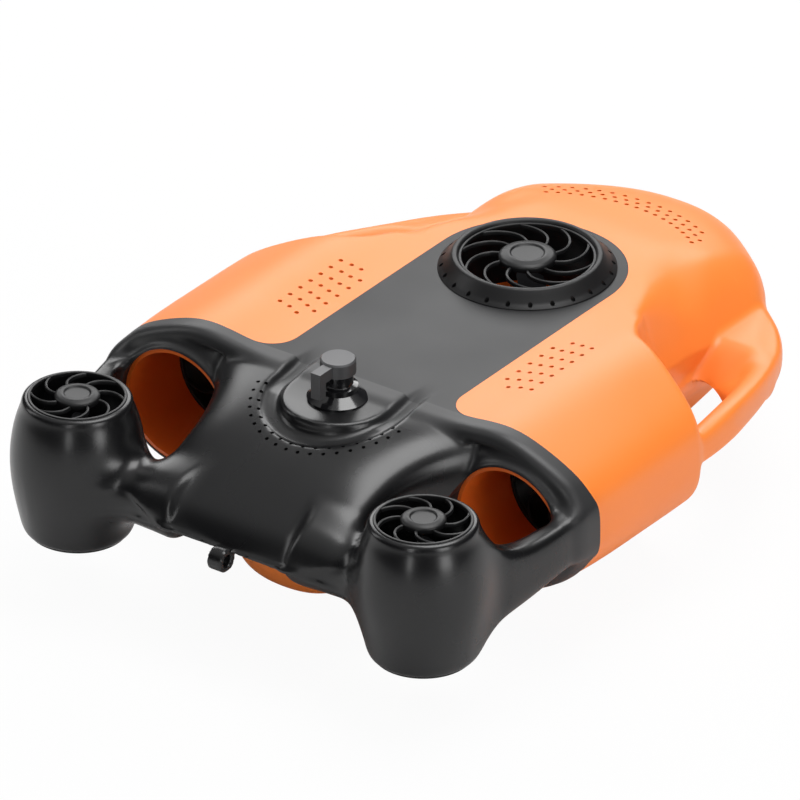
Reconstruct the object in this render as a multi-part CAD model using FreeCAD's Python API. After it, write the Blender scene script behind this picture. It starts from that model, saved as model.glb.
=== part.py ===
"""Underwater inspection vehicle with five thrusters, as an assembly of separate pieces.

Millimetres. +X is starboard, +Y is forward, +Z is up. The origin lies on the ground under the
middle of the vehicle: the skids stand on z = 0 and the nose and the stern are equally far away.
"""
import FreeCAD
import Part
import math
import os

V = FreeCAD.Vector
X_AXIS = V(1, 0, 0)
Y_AXIS = V(0, 1, 0)
Z_AXIS = V(0, 0, 1)
SIDES = (("left", -1), ("right", 1))

# ---- overall hull ---------------------------------------------------------------------------
LENGTH = 430.0              # stern edge of the tail barrels to the tip of the camera window
PARTING_Z = 68.0            # height of the seam between the upper and the lower shell
DECK_Z = 112.0              # height of the flat deck
BELLY_DEPTH = 60.0          # belly under the seam
POD_X = 100.0               # crest of each side pod
POD_HALF_WIDTH = 152.5      # hull half width over the side pods
POD_CREST = 6.0             # how far the pods' backs rise over the line of the deck
CREST_SPREAD = 28.0
SHELL_WALL = 3.0
SEAM_GAP = 0.15             # between the two shell halves
FIT = 0.15                  # all round a piece that is set into a hole
NOSE_Y = LENGTH / 2.0
SHELL_REAR_Y = -82.5        # where the orange shells meet the black tail cover
HOOD_LENGTH = 12.5          # black hood behind that line

# ---- deck panel -----------------------------------------------------------------------------
PANEL_THICK = 1.6
PANEL_HALF_WIDTH = 53.0
PANEL_CORNER_R = 12.0
TONGUE_Y = -101.6           # centre of the round platform that carries the tether socket
TONGUE_R = 31.0
TONGUE_TOP_Z = 110.5
MOAT_WIDTH = 14.0
MOAT_DEPTH = 2.4

# ---- waist recess between side pod and nose, and the grab handle across it --------------------
WAIST_X = 90.0              # hull half width at the seam inside the recess
WAIST_TOP_INSET = 15.0      # how much narrower the waist is at deck height
WAIST_BOTTOM_INSET = 34.0
POD_FACE_ANGLE = 24.0       # the pod's front face looks this much outwards
POD_FACE_Y = 40.0           # where that face meets the waist
SHOULDER_Y = 92.0           # where the nose shoulder leaves the waist
SHOULDER_ANGLE = 33.0
RECESS_REAR_R = 10.0
RECESS_FRONT_R = 26.0
SCOOP_LENGTH = 78.0         # hollow in the waist wall in front of the duct
SCOOP_END = 0.5             # its radius at the front, as a share of the duct's
HANDLE_OUT_X = 172.5        # outermost point of the handles
HANDLE_THICK = 19.0
HANDLE_HEIGHT = 34.0

# ---- horizontal ducts -------------------------------------------------------------------------
DUCT_X = 107.0
DUCT_Z = 68.0
DUCT_R = 31.0
LINER_WALL = 2.0
DUCT_MOUTH_Y = -98.6
DUCT_GUARD_Y = -54.0
DUCT_FRONT_GUARD_Y = 8.0

# ---- main vertical tunnel ---------------------------------------------------------------------
MAIN_Y = 67.4
MAIN_R = 36.4
MAIN_COLLAR_R = 49.5
MAIN_COLLAR_RISE = 7.0      # above the deck
MAIN_SPOKES = 10
MAIN_HUB_R = 15.4

# ---- tail barrels -----------------------------------------------------------------------------
BARREL_X = 111.0
BARREL_TOP_Z = 110.0
BARREL_HEIGHT = 79.0
BARREL_MAX_R = 35.4
BARREL_Y = BARREL_MAX_R - LENGTH / 2.0
BARREL_LIP_R = 29.5
BARREL_FOOT_R = 28.0
BARREL_BORE_R = 24.6
TAIL_SPOKES = 8
TAIL_HUB_R = 12.0

# ---- guards, motors and propellers ------------------------------------------------------------
GUARD_THICK = 2.6
GUARD_RIM = 1.6             # radial width of a guard's rim
GUARD_SEAT = 2.0            # depth of the step that a barrel's guard sits in
SPOKE_WIDTH = 1.5
TIP_GAP = 1.4               # propeller tip to tunnel wall
SHAFT_R = 2.0
SHAFT_GAP = 0.05            # running clearance of a propeller on its shaft
PROP_HUB_LENGTH = 11.0
PROP_BLADES = 3
MOTOR_LENGTH = 24.0
VANE_THICK = 2.4
VANES = 3
RUN_GAP = 1.2               # axial gap between a propeller and what stays still

# ---- tether socket ----------------------------------------------------------------------------
SOCKET_FLANGE_R = 16.5
SOCKET_FLANGE_RISE = 5.0
SOCKET_NECK_R = 8.0
CAP_R = 9.5
CAP_HEIGHT = 8.0
CAP_TOP_Z = 134.0
CAP_GAP = 0.4
LEVER_REACH = 20.0
LEVER_WIDTH = 6.0

# ---- nose: camera and lamps -------------------------------------------------------------------
CAMERA_Z = 68.0
BEZEL_R = 21.0
BEZEL_DEPTH = 16.0
DOME_R = 15.0
DOME_WALL = 1.8
CAMERA_R = 11.5
LAMP_X = 62.0
LAMP_Z = 66.0
LAMP_R = 12.0
LAMP_ANGLE = 38.0
LAMP_LENGTH = 30.0
LAMP_FRONT = 5.2            # lamp rim beyond its reference point on the nose

# ---- belly ------------------------------------------------------------------------------------
SKID_X = 42.0
SKID_WIDTH = 12.0
SKID_REAR_Y = -80.0
SKID_FRONT_Y = 112.0
PLATE_SPACING_X = 30.0
PLATE_SPACING_Y = 50.0
PLATE_HOLE_R = 2.15
PLATE_MARGIN = 7.0
PLATE_Y = -30.0
PLATE_THICK = 4.0
PLATE_FACE_Z = 3.0          # underside of the accessory plate

# ---- sealed case and what it holds --------------------------------------------------------------
CASE_HALF_WIDTH = 46.0
CASE_REAR_Y = -79.0
CASE_FRONT_Y = 25.0
CASE_FLOOR_Z = 22.0
CASE_TOP_Z = 96.0
CASE_WALL = 3.0
LID_THICK = 4.0

# ---- stern eyelet -------------------------------------------------------------------------------
EYELET_HOLE_R = 3.2
EYELET_WALL = 2.4
EYELET_WIDTH = 6.0

# Hull stations: y, half width, top z, depth under the seam, upper and lower squareness, pod crest
HULL_STATIONS = (
    (-97.0, 149.5, DECK_Z, BELLY_DEPTH - 3.0, 3.9, 2.15, POD_CREST),
    (-82.5, 151.0, DECK_Z, BELLY_DEPTH - 1.5, 3.9, 2.15, POD_CREST),
    (-30.0, POD_HALF_WIDTH, DECK_Z, BELLY_DEPTH, 3.8, 2.15, POD_CREST),
    (25.0, POD_HALF_WIDTH - 1.5, DECK_Z, BELLY_DEPTH, 3.7, 2.2, POD_CREST),
    (75.0, 140.0, DECK_Z, BELLY_DEPTH, 3.5, 2.3, POD_CREST * 0.6),
    (NOSE_Y - 105.0, 125.0, DECK_Z, BELLY_DEPTH - 1.0, 3.3, 2.4, POD_CREST * 0.2),
    (NOSE_Y - 82.0, 111.0, DECK_Z - 2.5, BELLY_DEPTH - 3.5, 3.2, 2.5, 0.0),
    (NOSE_Y - 60.0, 95.0, DECK_Z - 6.5, BELLY_DEPTH - 7.5, 3.1, 2.5, 0.0),
    (NOSE_Y - 40.0, 78.0, DECK_Z - 10.0, BELLY_DEPTH - 12.0, 2.9, 2.5, 0.0),
    (NOSE_Y - 24.0, 60.0, DECK_Z - 14.5, BELLY_DEPTH - 19.0, 2.7, 2.5, 0.0),
    (NOSE_Y - 12.0, 44.5, DECK_Z - 19.5, BELLY_DEPTH - 28.0, 2.5, 2.4, 0.0),
    (NOSE_Y - 4.5, 32.0, DECK_Z - 24.5, BELLY_DEPTH - 37.0, 2.3, 2.3, 0.0),
)

# Stern under the tail cover: y, half width, top z, bottom z
STERN_STATIONS = (
    (-70.0, 66.0, PARTING_Z - 1.5, 8.6),
    (-98.0, 56.0, PARTING_Z - 3.0, 10.4),
    (-122.0, 43.0, PARTING_Z - 5.0, 14.0),
    (-140.0, 32.0, PARTING_Z - 10.0, 19.0),
    (-152.0, 21.5, PARTING_Z - 17.0, 24.0),
    (-158.5, 12.0, PARTING_Z - 23.0, 29.0),
)

# Bridge of the tail cover: y, half width, top z, bottom z
BRIDGE_STATIONS = (
    (-84.0, 92.0, DECK_Z + 0.4, 56.0),
    (-101.0, 80.0, DECK_Z - 1.0, 56.0),
    (-120.0, 70.0, DECK_Z - 4.0, 57.0),
    (-140.0, 64.0, DECK_Z - 9.0, 58.0),
    (BARREL_Y + 19.6, 62.0, DECK_Z - 16.5, 58.5),
    (BARREL_Y - 0.4, 60.0, DECK_Z - 27.0, 59.0),
    (BARREL_Y - 12.4, 55.0, DECK_Z - 35.0, 60.0),
    (BARREL_Y - 20.4, 46.0, DECK_Z - 43.0, 63.5),
)


# ---- small helpers ------------------------------------------------------------------------------
def superellipse(y, half_width, top, bottom, middle, square_up, square_down, crest=0.0, count=36):
    """Closed smooth section in the plane y: one squareness above the middle, one below.

    A crest lifts the upper half over the side pods."""
    points = []
    for step in range(count):
        angle = 2.0 * math.pi * (step + 0.5) / count
        c = math.cos(angle)
        s = math.sin(angle)
        power = square_up if s > 0 else square_down
        reach = (abs(c) ** power + abs(s) ** power) ** (-1.0 / power)
        height = top - middle if s > 0 else middle - bottom
        x = half_width * c * reach
        z = middle + height * s * reach
        if s > 0:
            z += crest * s * reach * math.exp(-((abs(x) - POD_X) / CREST_SPREAD) ** 2)
        points.append(V(x, y, z))
    curve = Part.BSplineCurve()
    curve.interpolate(Points=points, PeriodicFlag=True)
    return Part.Wire([curve.toShape()])


def loft(wires):
    return Part.makeLoft(wires, True, False)


def fuse_all(shapes):
    return shapes[0].fuse(list(shapes[1:])).removeSplitter()


def box(x0, x1, y0, y1, z0, z1):
    return Part.makeBox(x1 - x0, y1 - y0, z1 - z0, V(x0, y0, z0))


def rod(radius, start, direction, length):
    return Part.makeCylinder(radius, length, start, direction)


def tube(outer, inner, start, direction, length):
    margin = direction * 1.0
    return rod(outer, start, direction, length).cut(rod(inner, start - margin, direction, length + 2.0))


def revolve(profile, centre):
    """Turn a closed outline of (radius, height) points about the vertical through centre."""
    points = [centre + V(r, 0, h) for r, h in profile]
    face = Part.Face(Part.makePolygon(points + points[:1]))
    return face.revolve(centre, Z_AXIS, 360)


def mirror_x(shape):
    return shape.mirror(V(0, 0, 0), X_AXIS)


def for_side(shape, side):
    """Pieces are modelled on the starboard side and mirrored to port."""
    return shape if side > 0 else mirror_x(shape)


def rounded_outline(corners, z):
    """Closed outline of (x, y, radius) corners at height z, with tangent arcs at its corners."""
    edges = []
    count = len(corners)
    ends = []
    for i, (x, y, radius) in enumerate(corners):
        here = V(x, y, z)
        before = V(corners[i - 1][0], corners[i - 1][1], z) - here
        after = V(corners[(i + 1) % count][0], corners[(i + 1) % count][1], z) - here
        before.normalize()
        after.normalize()
        half = before.getAngle(after) / 2.0
        if radius <= 0:
            ends.append((here, here, None))
            continue
        back = radius / math.tan(half)
        middle = before + after
        middle.normalize()
        apex = here + middle * (radius / math.sin(half) - radius)
        ends.append((here + before * back, here + after * back, apex))
    for i in range(count):
        start, end, apex = ends[i]
        if apex is not None:
            edges.append(Part.Arc(start, apex, end).toShape())
        following = ends[(i + 1) % count][0]
        if (following - end).Length > 1e-6:
            edges.append(Part.LineSegment(end, following).toShape())
    return Part.Wire(edges)


def prism(wire, height):
    return Part.Face(wire).extrude(V(0, 0, height))


# ---- hull form ----------------------------------------------------------------------------------
def hull_form(inset, rear_extra=0.0):
    """The smooth outside of the hull, or the same form moved in by a wall thickness."""
    wires = []
    for i, (y, half_width, top, depth, square_up, square_down, crest) in enumerate(HULL_STATIONS):
        nose_share = max(0.0, (y - MAIN_Y) / (NOSE_Y - MAIN_Y))
        station_y = y - inset * nose_share - (rear_extra if i == 0 else 0.0)
        wires.append(superellipse(station_y, half_width - inset, top - inset,
                                  PARTING_Z - depth + inset, PARTING_Z, square_up, square_down,
                                  crest))
    return loft(wires)


def stern_form(inset):
    wires = []
    for y, half_width, top, bottom in STERN_STATIONS:
        share = max(0.0, (STERN_STATIONS[1][0] - y) / 60.0)
        middle = (top + bottom) / 2.0
        wires.append(superellipse(y + inset * share, half_width - inset, top - inset,
                                  bottom + inset, middle, 2.3, 2.2))
    return loft(wires)


def recess_tool(side, grow):
    """What the waist recess takes out of the hull; a negative grow leaves a wall inside it."""
    far = POD_HALF_WIDTH + 60.0
    pod_slope = math.tan(math.radians(POD_FACE_ANGLE))
    shoulder_slope = math.tan(math.radians(SHOULDER_ANGLE))
    wires = []
    for z, inset in ((-20.0, WAIST_BOTTOM_INSET + 8.0), (20.0, WAIST_BOTTOM_INSET - 12.0),
                     (PARTING_Z, 0.0), (100.0, WAIST_TOP_INSET - 6.0), (150.0, WAIST_TOP_INSET + 6.0)):
        wall = WAIST_X - inset + grow
        rear = POD_FACE_Y - grow + inset * pod_slope
        front = SHOULDER_Y + grow
        corners = ((wall, rear, RECESS_REAR_R),
                   (far, rear - (far - wall) * pod_slope, 0.0),
                   (far, front + (far - wall) * shoulder_slope, 0.0),
                   (wall, front, RECESS_FRONT_R))
        wires.append(rounded_outline(corners, z))
    return for_side(loft(wires), side)


def duct_scoop(side, grow):
    """Hollow in the waist wall that carries the duct's flow past the hull."""
    start = V(side * DUCT_X, 0.0, DUCT_Z)
    end_r = DUCT_R * SCOOP_END
    cone = Part.makeCone(DUCT_R - grow, end_r - grow, SCOOP_LENGTH - grow, start, Y_AXIS)
    return cone.common(beyond_pod_face(side, grow))


def recesses(grow):
    return [shape(side, grow) for _, side in SIDES for shape in (recess_tool, duct_scoop)]


def beyond_pod_face(side, shift):
    """Everything forward of the pod's slanted front face."""
    slope = math.tan(math.radians(POD_FACE_ANGLE))
    far = POD_HALF_WIDTH + 60.0
    near = 20.0
    face_y = POD_FACE_Y + shift
    corners = [V(near, face_y + (WAIST_X - near) * slope, -40), V(far, face_y - (far - WAIST_X) * slope, -40),
               V(far, 400, -40), V(near, 400, -40)]
    block = Part.Face(Part.makePolygon(corners + corners[:1])).extrude(V(0, 0, 260))
    return for_side(block, side)


def panel_outline(grow, z):
    """Deck strip: straight sides, a half circle round the main tunnel and an open rear."""
    half = PANEL_HALF_WIDTH + grow
    rear = SHELL_REAR_Y - 40.0
    edges = [Part.LineSegment(V(half, rear, z), V(half, MAIN_Y, z)).toShape(),
             Part.Arc(V(half, MAIN_Y, z), V(0, MAIN_Y + half, z), V(-half, MAIN_Y, z)).toShape(),
             Part.LineSegment(V(-half, MAIN_Y, z), V(-half, rear, z)).toShape(),
             Part.LineSegment(V(-half, rear, z), V(half, rear, z)).toShape()]
    return Part.Wire(edges)


def panel_prism(grow):
    """Upright prism over the panel, with the concave corners where it meets the tail cover."""
    base_z = PARTING_Z + 20.0
    height = 60.0
    strip = prism(panel_outline(grow, base_z), height)
    corners = []
    radius = PANEL_CORNER_R - grow
    for _, side in SIDES:
        x = side * (PANEL_HALF_WIDTH + grow)
        y = SHELL_REAR_Y + grow
        block = box(min(x, x + side * radius), max(x, x + side * radius), y, y + radius,
                    base_z, base_z + height)
        corners.append(block.cut(rod(radius, V(x + side * radius, y + radius, base_z), Z_AXIS, height)))
    return strip.fuse(corners)


# ---- thruster pieces, all built about the +Z axis with the origin on that axis ---------------------
def guard(rim_r, hub_r, spokes, twist, hub_rise):
    """Round guard: rim, domed hub with a shallow round recess, and spiral spokes."""
    inner = rim_r - GUARD_RIM
    pieces = [tube(rim_r, inner, V(0, 0, -GUARD_THICK), Z_AXIS, GUARD_THICK)]
    dish_r = hub_r * 0.62
    hub = revolve(((0, -GUARD_THICK), (hub_r, -GUARD_THICK), (hub_r, hub_rise * 0.25),
                   (hub_r - 1.2, hub_rise * 0.65), (dish_r + 0.6, hub_rise), (dish_r, hub_rise - 0.7),
                   (0, hub_rise - 0.7)), V(0, 0, 0))
    pieces.append(hub)
    start = hub_r - 0.8
    end = inner + 0.5
    for index in range(spokes):
        pieces.append(spiral_spoke(start, end, 360.0 * index / spokes, twist))
    return fuse_all(pieces)


def spiral_spoke(start, end, at, twist):
    """A rib that leaves the hub radially and bends round towards the rim."""
    def polar(radius, degrees, shift):
        a = math.radians(degrees)
        across = a + math.pi / 2.0
        return V(radius * math.cos(a) + shift * math.cos(across),
                 radius * math.sin(a) + shift * math.sin(across), -GUARD_THICK)
    half = SPOKE_WIDTH / 2.0
    middle = (start + end) / 2.0
    stations = ((start, at), (middle, at + twist * 0.34), (end, at + twist))
    left = [polar(radius, degrees, half) for radius, degrees in stations]
    right = [polar(radius, degrees, -half) for radius, degrees in stations]
    outline = Part.Wire([Part.Arc(*left).toShape(), Part.LineSegment(left[2], right[2]).toShape(),
                         Part.Arc(right[2], right[1], right[0]).toShape(),
                         Part.LineSegment(right[0], left[0]).toShape()])
    return Part.Face(outline).extrude(V(0, 0, GUARD_THICK - 0.3))


def motor(tunnel_r, body_r):
    """Sealed motor on radial vanes; its shaft stands up out of the top end at z = 0."""
    body = revolve(((0, 0), (body_r - 1.5, 0), (body_r, -1.5), (body_r, -MOTOR_LENGTH + 6.0),
                    (body_r * 0.55, -MOTOR_LENGTH), (0, -MOTOR_LENGTH)), V(0, 0, 0))
    shaft = rod(SHAFT_R, V(0, 0, -1.0), Z_AXIS, RUN_GAP + PROP_HUB_LENGTH + 1.0)
    pieces = [body, shaft]
    limit = rod(tunnel_r - 0.05, V(0, 0, -MOTOR_LENGTH), Z_AXIS, MOTOR_LENGTH)
    for index in range(VANES):
        vane = box(body_r - 1.5, tunnel_r + 2.0, -VANE_THICK / 2.0, VANE_THICK / 2.0,
                   -MOTOR_LENGTH + 8.0, -3.0)
        vane.rotate(V(0, 0, 0), Z_AXIS, 90.0 + 360.0 * index / VANES)
        pieces.append(vane.common(limit))
    return fuse_all(pieces)


def blade_section(radius, chord, thick, pitch):
    """Thin lens across the blade at one radius, turned to its pitch."""
    c = math.cos(math.radians(pitch))
    s = math.sin(math.radians(pitch))

    def place(along, up):
        return V(radius, along * c - up * s, along * s + up * c)
    front = place(-chord / 2.0, 0)
    back = place(chord / 2.0, 0)
    return Part.Wire([Part.Arc(front, place(0, thick / 2.0), back).toShape(),
                      Part.Arc(back, place(0, -thick / 2.0), front).toShape()])


def propeller(tunnel_r, hub_r):
    """Hub with a rounded nose and twisted blades; its bore starts at z = 0."""
    tip = tunnel_r - TIP_GAP
    length = PROP_HUB_LENGTH
    hub = revolve(((0, 0), (hub_r, 0), (hub_r, length - 3.5), (hub_r * 0.8, length - 0.8),
                   (hub_r * 0.4, length + 1.0), (0, length + 1.4)), V(0, 0, 0))
    chord = (tip - hub_r) * 0.72
    pieces = [hub]
    for index in range(PROP_BLADES):
        blade = loft([blade_section(hub_r - 1.2, chord * 0.62, 2.6, 46.0),
                      blade_section((hub_r + tip) / 2.0, chord, 1.9, 33.0),
                      blade_section(tip - 0.3, chord * 0.62, 1.2, 24.0)])
        blade.translate(V(0, 0, length * 0.45))
        blade.rotate(V(0, 0, 0), Z_AXIS, 360.0 * index / PROP_BLADES)
        pieces.append(blade)
    whole = fuse_all(pieces)
    whole = whole.common(rod(tip, V(0, 0, -20), Z_AXIS, length + 40.0))
    return whole.cut(rod(SHAFT_R + SHAFT_GAP, V(0, 0, -1.0), Z_AXIS, length + 1.0))


def placed(shape, position, forward):
    """Stand a piece up at a place, or lay it down along +Y where forward is true."""
    copy = shape.copy()
    if forward:
        copy.rotate(V(0, 0, 0), X_AXIS, -90.0)
    copy.translate(position)
    return copy


# ---- shells -------------------------------------------------------------------------------------
def duct_bore(side, radius):
    """Straight hole for a duct liner, from behind the hood to the pod's front face."""
    start = SHELL_REAR_Y - 60.0
    hole = rod(radius, V(side * DUCT_X, start, DUCT_Z), Y_AXIS, 240.0)
    return hole.cut(beyond_pod_face(side, 0.5))


def liner_holes():
    radius = DUCT_R + LINER_WALL + FIT
    holes = [duct_bore(side, radius) for _, side in SIDES]
    holes.append(rod(MAIN_R + LINER_WALL + FIT, V(0, MAIN_Y, -10), Z_AXIS, 160.0))
    return holes


def lamp_frame(side):
    """Where a lamp sits on the nose, and the way it looks."""
    angle = math.radians(LAMP_ANGLE)
    axis = V(side * math.sin(angle), math.cos(angle), 0)
    seat_y = NOSE_Y - 38.0
    return V(side * LAMP_X, seat_y, LAMP_Z), axis


def lamp_hole(side, radius):
    seat, axis = lamp_frame(side)
    return rod(radius, seat - axis * (LAMP_LENGTH + 4.0), axis, LAMP_LENGTH + 44.0)


def shell_solids():
    """Outer and inner hull forms with the recesses taken out, and the hollow orange body."""
    outer = hull_form(0.0).cut(recesses(0.0))
    inner = hull_form(SHELL_WALL, 10.0).cut(recesses(-SHELL_WALL))
    stern = stern_form(0.0).fuse(outer)
    hollow = stern_form(SHELL_WALL).fuse(inner)
    body = stern.cut(hollow)
    openings = liner_holes() + [lamp_hole(side, LAMP_R + FIT) for _, side in SIDES]
    openings.append(rod(BEZEL_R + FIT, V(0, NOSE_Y - 60.0, CAMERA_Z), Y_AXIS, 80.0))
    body = body.cut(openings)
    return outer, body


def rear_cutter():
    """Everything behind the shell line that belongs to the black tail cover."""
    cover = box(-200, 200, SHELL_REAR_Y - 40.0, SHELL_REAR_Y, -20, 160)
    return cover.cut(stern_form(-FIT))


def case_pillars(outer):
    """Posts of the lower shell that the sealed case stands on."""
    posts = []
    for x in (-1, 1):
        for y in (CASE_REAR_Y + 14.0, CASE_FRONT_Y - 14.0):
            post = rod(5.0, V(x * (CASE_HALF_WIDTH - 12.0), y, 0), Z_AXIS, CASE_FLOOR_Z)
            posts.append(post.common(outer))
    return posts


def lower_shell(outer, body):
    below = box(-220, 220, -220, 240, -20, PARTING_Z - SEAM_GAP / 2.0)
    shell = body.cut(rear_cutter()).common(below)
    parts = [shell] + case_pillars(outer)
    merged = fuse_all(parts)
    plate_holes = [rod(PLATE_HOLE_R + FIT, V(x, y, -5), Z_AXIS, 25.0) for x, y in plate_hole_places()]
    return merged.cut(plate_holes)


def upper_shell(body):
    above = box(-220, 220, -220, 240, PARTING_Z + SEAM_GAP / 2.0, 160)
    shell = body.cut(rear_cutter()).common(above)
    panel_seat = panel_prism(FIT).cut(hull_form(PANEL_THICK + FIT, 40.0))
    return shell.cut(panel_seat)


def deck_panel():
    """Thin cover let into the upper shell, with the tongue platform and its moat at the rear."""
    front_only = box(-200, 200, SHELL_REAR_Y + FIT, 240, 0, 200)
    block = hull_form(0.0, 40.0).common(panel_prism(0.0))
    panel = block.cut(hull_form(PANEL_THICK, 60.0)).common(front_only)
    return panel.cut(rod(MAIN_R + LINER_WALL + FIT, V(0, MAIN_Y, 60), Z_AXIS, 90.0))


# ---- tail ---------------------------------------------------------------------------------------
def bridge_form():
    wires = []
    for y, half_width, top, bottom in BRIDGE_STATIONS:
        middle = bottom + (top - bottom) * 0.45
        wires.append(superellipse(y, half_width, top, bottom, middle, 3.6, 2.8))
    return loft(wires)


def tongue(low, high):
    """Upright prism of the round-ended platform that carries the tether socket."""
    plug = rod(TONGUE_R, V(0, TONGUE_Y, low), Z_AXIS, high - low)
    block = box(-TONGUE_R, TONGUE_R, TONGUE_Y, SHELL_REAR_Y, low, high)
    return plug.fuse(block)


def moat():
    """The lowered ring round the tongue."""
    reach = TONGUE_R + MOAT_WIDTH
    top = TONGUE_TOP_Z + 20.0
    floor = TONGUE_TOP_Z - MOAT_DEPTH
    outer = rod(reach, V(0, TONGUE_Y, floor), Z_AXIS, top - floor)
    keep = rod(TONGUE_R, V(0, TONGUE_Y, floor - 1.0), Z_AXIS, top - floor + 2.0)
    behind = box(-reach, reach, TONGUE_Y - reach, TONGUE_Y, floor, top)
    return outer.cut(keep).common(behind)


def eyelet():
    """Loop for a lanyard on the lower rear edge of the bridge, with its hole across."""
    centre_y = BRIDGE_STATIONS[-1][0] - 1.5
    centre_z = BRIDGE_STATIONS[-1][3] - 2.0
    outer_r = EYELET_HOLE_R + EYELET_WALL
    start = V(-EYELET_WIDTH / 2.0, centre_y - outer_r * 0.6, centre_z)
    ring = rod(outer_r, start, X_AXIS, EYELET_WIDTH)
    root = box(-EYELET_WIDTH / 2.0, EYELET_WIDTH / 2.0, centre_y - outer_r * 0.6, centre_y + 12.0,
               centre_z - outer_r * 0.2, centre_z + outer_r)
    hole = rod(EYELET_HOLE_R, start - X_AXIS * 5.0, X_AXIS, EYELET_WIDTH + 10.0)
    return ring.fuse(root), hole


def hood_dish(side):
    """Hollow between the hood's rim and the mouth of the duct liner."""
    depth = 6.0
    rim_y = SHELL_REAR_Y - HOOD_LENGTH
    start = V(side * (DUCT_X - 2.0), rim_y - 1.0, DUCT_Z)
    return Part.makeCone(41.0, 36.0, depth + 1.0, start, Y_AXIS)


def tail_cover():
    """Black cover behind the shells: the two hoods, the bulkhead and the bridge with the tongue."""
    rim_y = SHELL_REAR_Y - HOOD_LENGTH
    slab = hull_form(0.0, 40.0).common(box(-200, 200, rim_y, SHELL_REAR_Y - FIT, 0, 160))
    bridge = bridge_form().common(box(-200, 200, -230, SHELL_REAR_Y - FIT, 0, 160))
    loop, loop_hole = eyelet()
    cover = fuse_all([slab, bridge, loop])
    cover = cover.cut([hood_dish(side) for _, side in SIDES])
    cover = cover.cut([duct_bore(side, DUCT_R + LINER_WALL + FIT) for _, side in SIDES])
    above = tongue(TONGUE_TOP_Z, TONGUE_TOP_Z + 20.0)
    return cover.cut([above, moat(), stern_form(-FIT), loop_hole])


def barrel_profile():
    """Radius and height of the barrel's outside, from the lip down to the foot."""
    top = 0.0
    return ((BARREL_LIP_R - 1.2, top), (BARREL_LIP_R, top - 1.2), (BARREL_LIP_R + 0.4, top - 3.2),
            (BARREL_LIP_R - 0.4, top - 4.2), (BARREL_LIP_R + 1.4, top - 10.0),
            (BARREL_MAX_R - 1.2, -BARREL_HEIGHT * 0.28), (BARREL_MAX_R, -BARREL_HEIGHT * 0.5),
            (BARREL_MAX_R - 2.4, -BARREL_HEIGHT * 0.74), (BARREL_FOOT_R + 2.4, -BARREL_HEIGHT * 0.9),
            (BARREL_FOOT_R, -BARREL_HEIGHT + 1.5), (BARREL_FOOT_R - 1.5, -BARREL_HEIGHT))


def barrel_outer(centre):
    profile = barrel_profile()
    lip = [centre + V(r, 0, h) for r, h in profile[:5]]
    belly = [centre + V(r, 0, h) for r, h in profile[4:]]
    curve = Part.BSplineCurve()
    curve.interpolate(Points=belly)
    edges = [Part.LineSegment(a, b).toShape() for a, b in zip(lip[:-1], lip[1:])]
    edges.append(curve.toShape())
    foot = centre + V(0, 0, -BARREL_HEIGHT)
    edges.append(Part.LineSegment(belly[-1], foot).toShape())
    edges.append(Part.LineSegment(foot, centre).toShape())
    edges.append(Part.LineSegment(centre, lip[0]).toShape())
    return Part.Face(Part.Wire(edges)).revolve(centre, Z_AXIS, 360)


def oval(centre, across, up, half_across, half_up, count=16):
    points = []
    for step in range(count):
        angle = 2.0 * math.pi * step / count
        points.append(centre + across * (half_across * math.cos(angle)) + up * (half_up * math.sin(angle)))
    curve = Part.BSplineCurve()
    curve.interpolate(Points=points, PeriodicFlag=True)
    return Part.Wire([curve.toShape()])


def tail_neck():
    """Thick stub from the bridge's side to the barrel."""
    ends = ((50.0, 66.0, 15.0, 12.5), (66.0, 64.0, 12.0, 12.0), (84.0, 61.0, 14.0, 14.5),
            (96.0, 60.0, 19.0, 19.0))
    wires = [oval(V(x, BARREL_Y + 1.0, z), Y_AXIS, Z_AXIS, wide, tall) for x, z, wide, tall in ends]
    return loft(wires)


def tail_arm():
    """Outer arm from the hood's lower outer rim to the barrel."""
    ends = ((V(130, BARREL_Y + 19.6, 68), 14.0, 27.0), (V(137, BARREL_Y + 39.6, 67), 9.5, 18.0),
            (V(141, -120, 70), 7.0, 14.5), (V(144, -98, 72), 5.5, 13.0), (V(144, -84, 73), 5.0, 13.0))
    wires = []
    for centre, wide, tall in ends:
        wires.append(oval(centre, X_AXIS, Z_AXIS, wide, tall))
    return loft(wires)


def tail_barrel(cover):
    """Starboard barrel with its neck and arm as one moulding, trimmed to the tail cover."""
    centre = V(BARREL_X, BARREL_Y, BARREL_TOP_Z)
    solid = fuse_all([barrel_outer(centre), tail_neck(), tail_arm()])
    solid = solid.cut([cover, hood_dish(1), duct_bore(1, DUCT_R + LINER_WALL + 4.0)])
    bottom = centre + V(0, 0, -BARREL_HEIGHT - 1.0)
    seat_r = BARREL_BORE_R + GUARD_RIM
    seats = [rod(seat_r, centre + V(0, 0, -GUARD_SEAT), Z_AXIS, 20.0),
             rod(seat_r, bottom, Z_AXIS, GUARD_SEAT + 1.0)]
    bore = rod(BARREL_BORE_R, bottom, Z_AXIS, BARREL_HEIGHT + 2.0)
    return solid.cut([bore] + seats)


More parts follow.
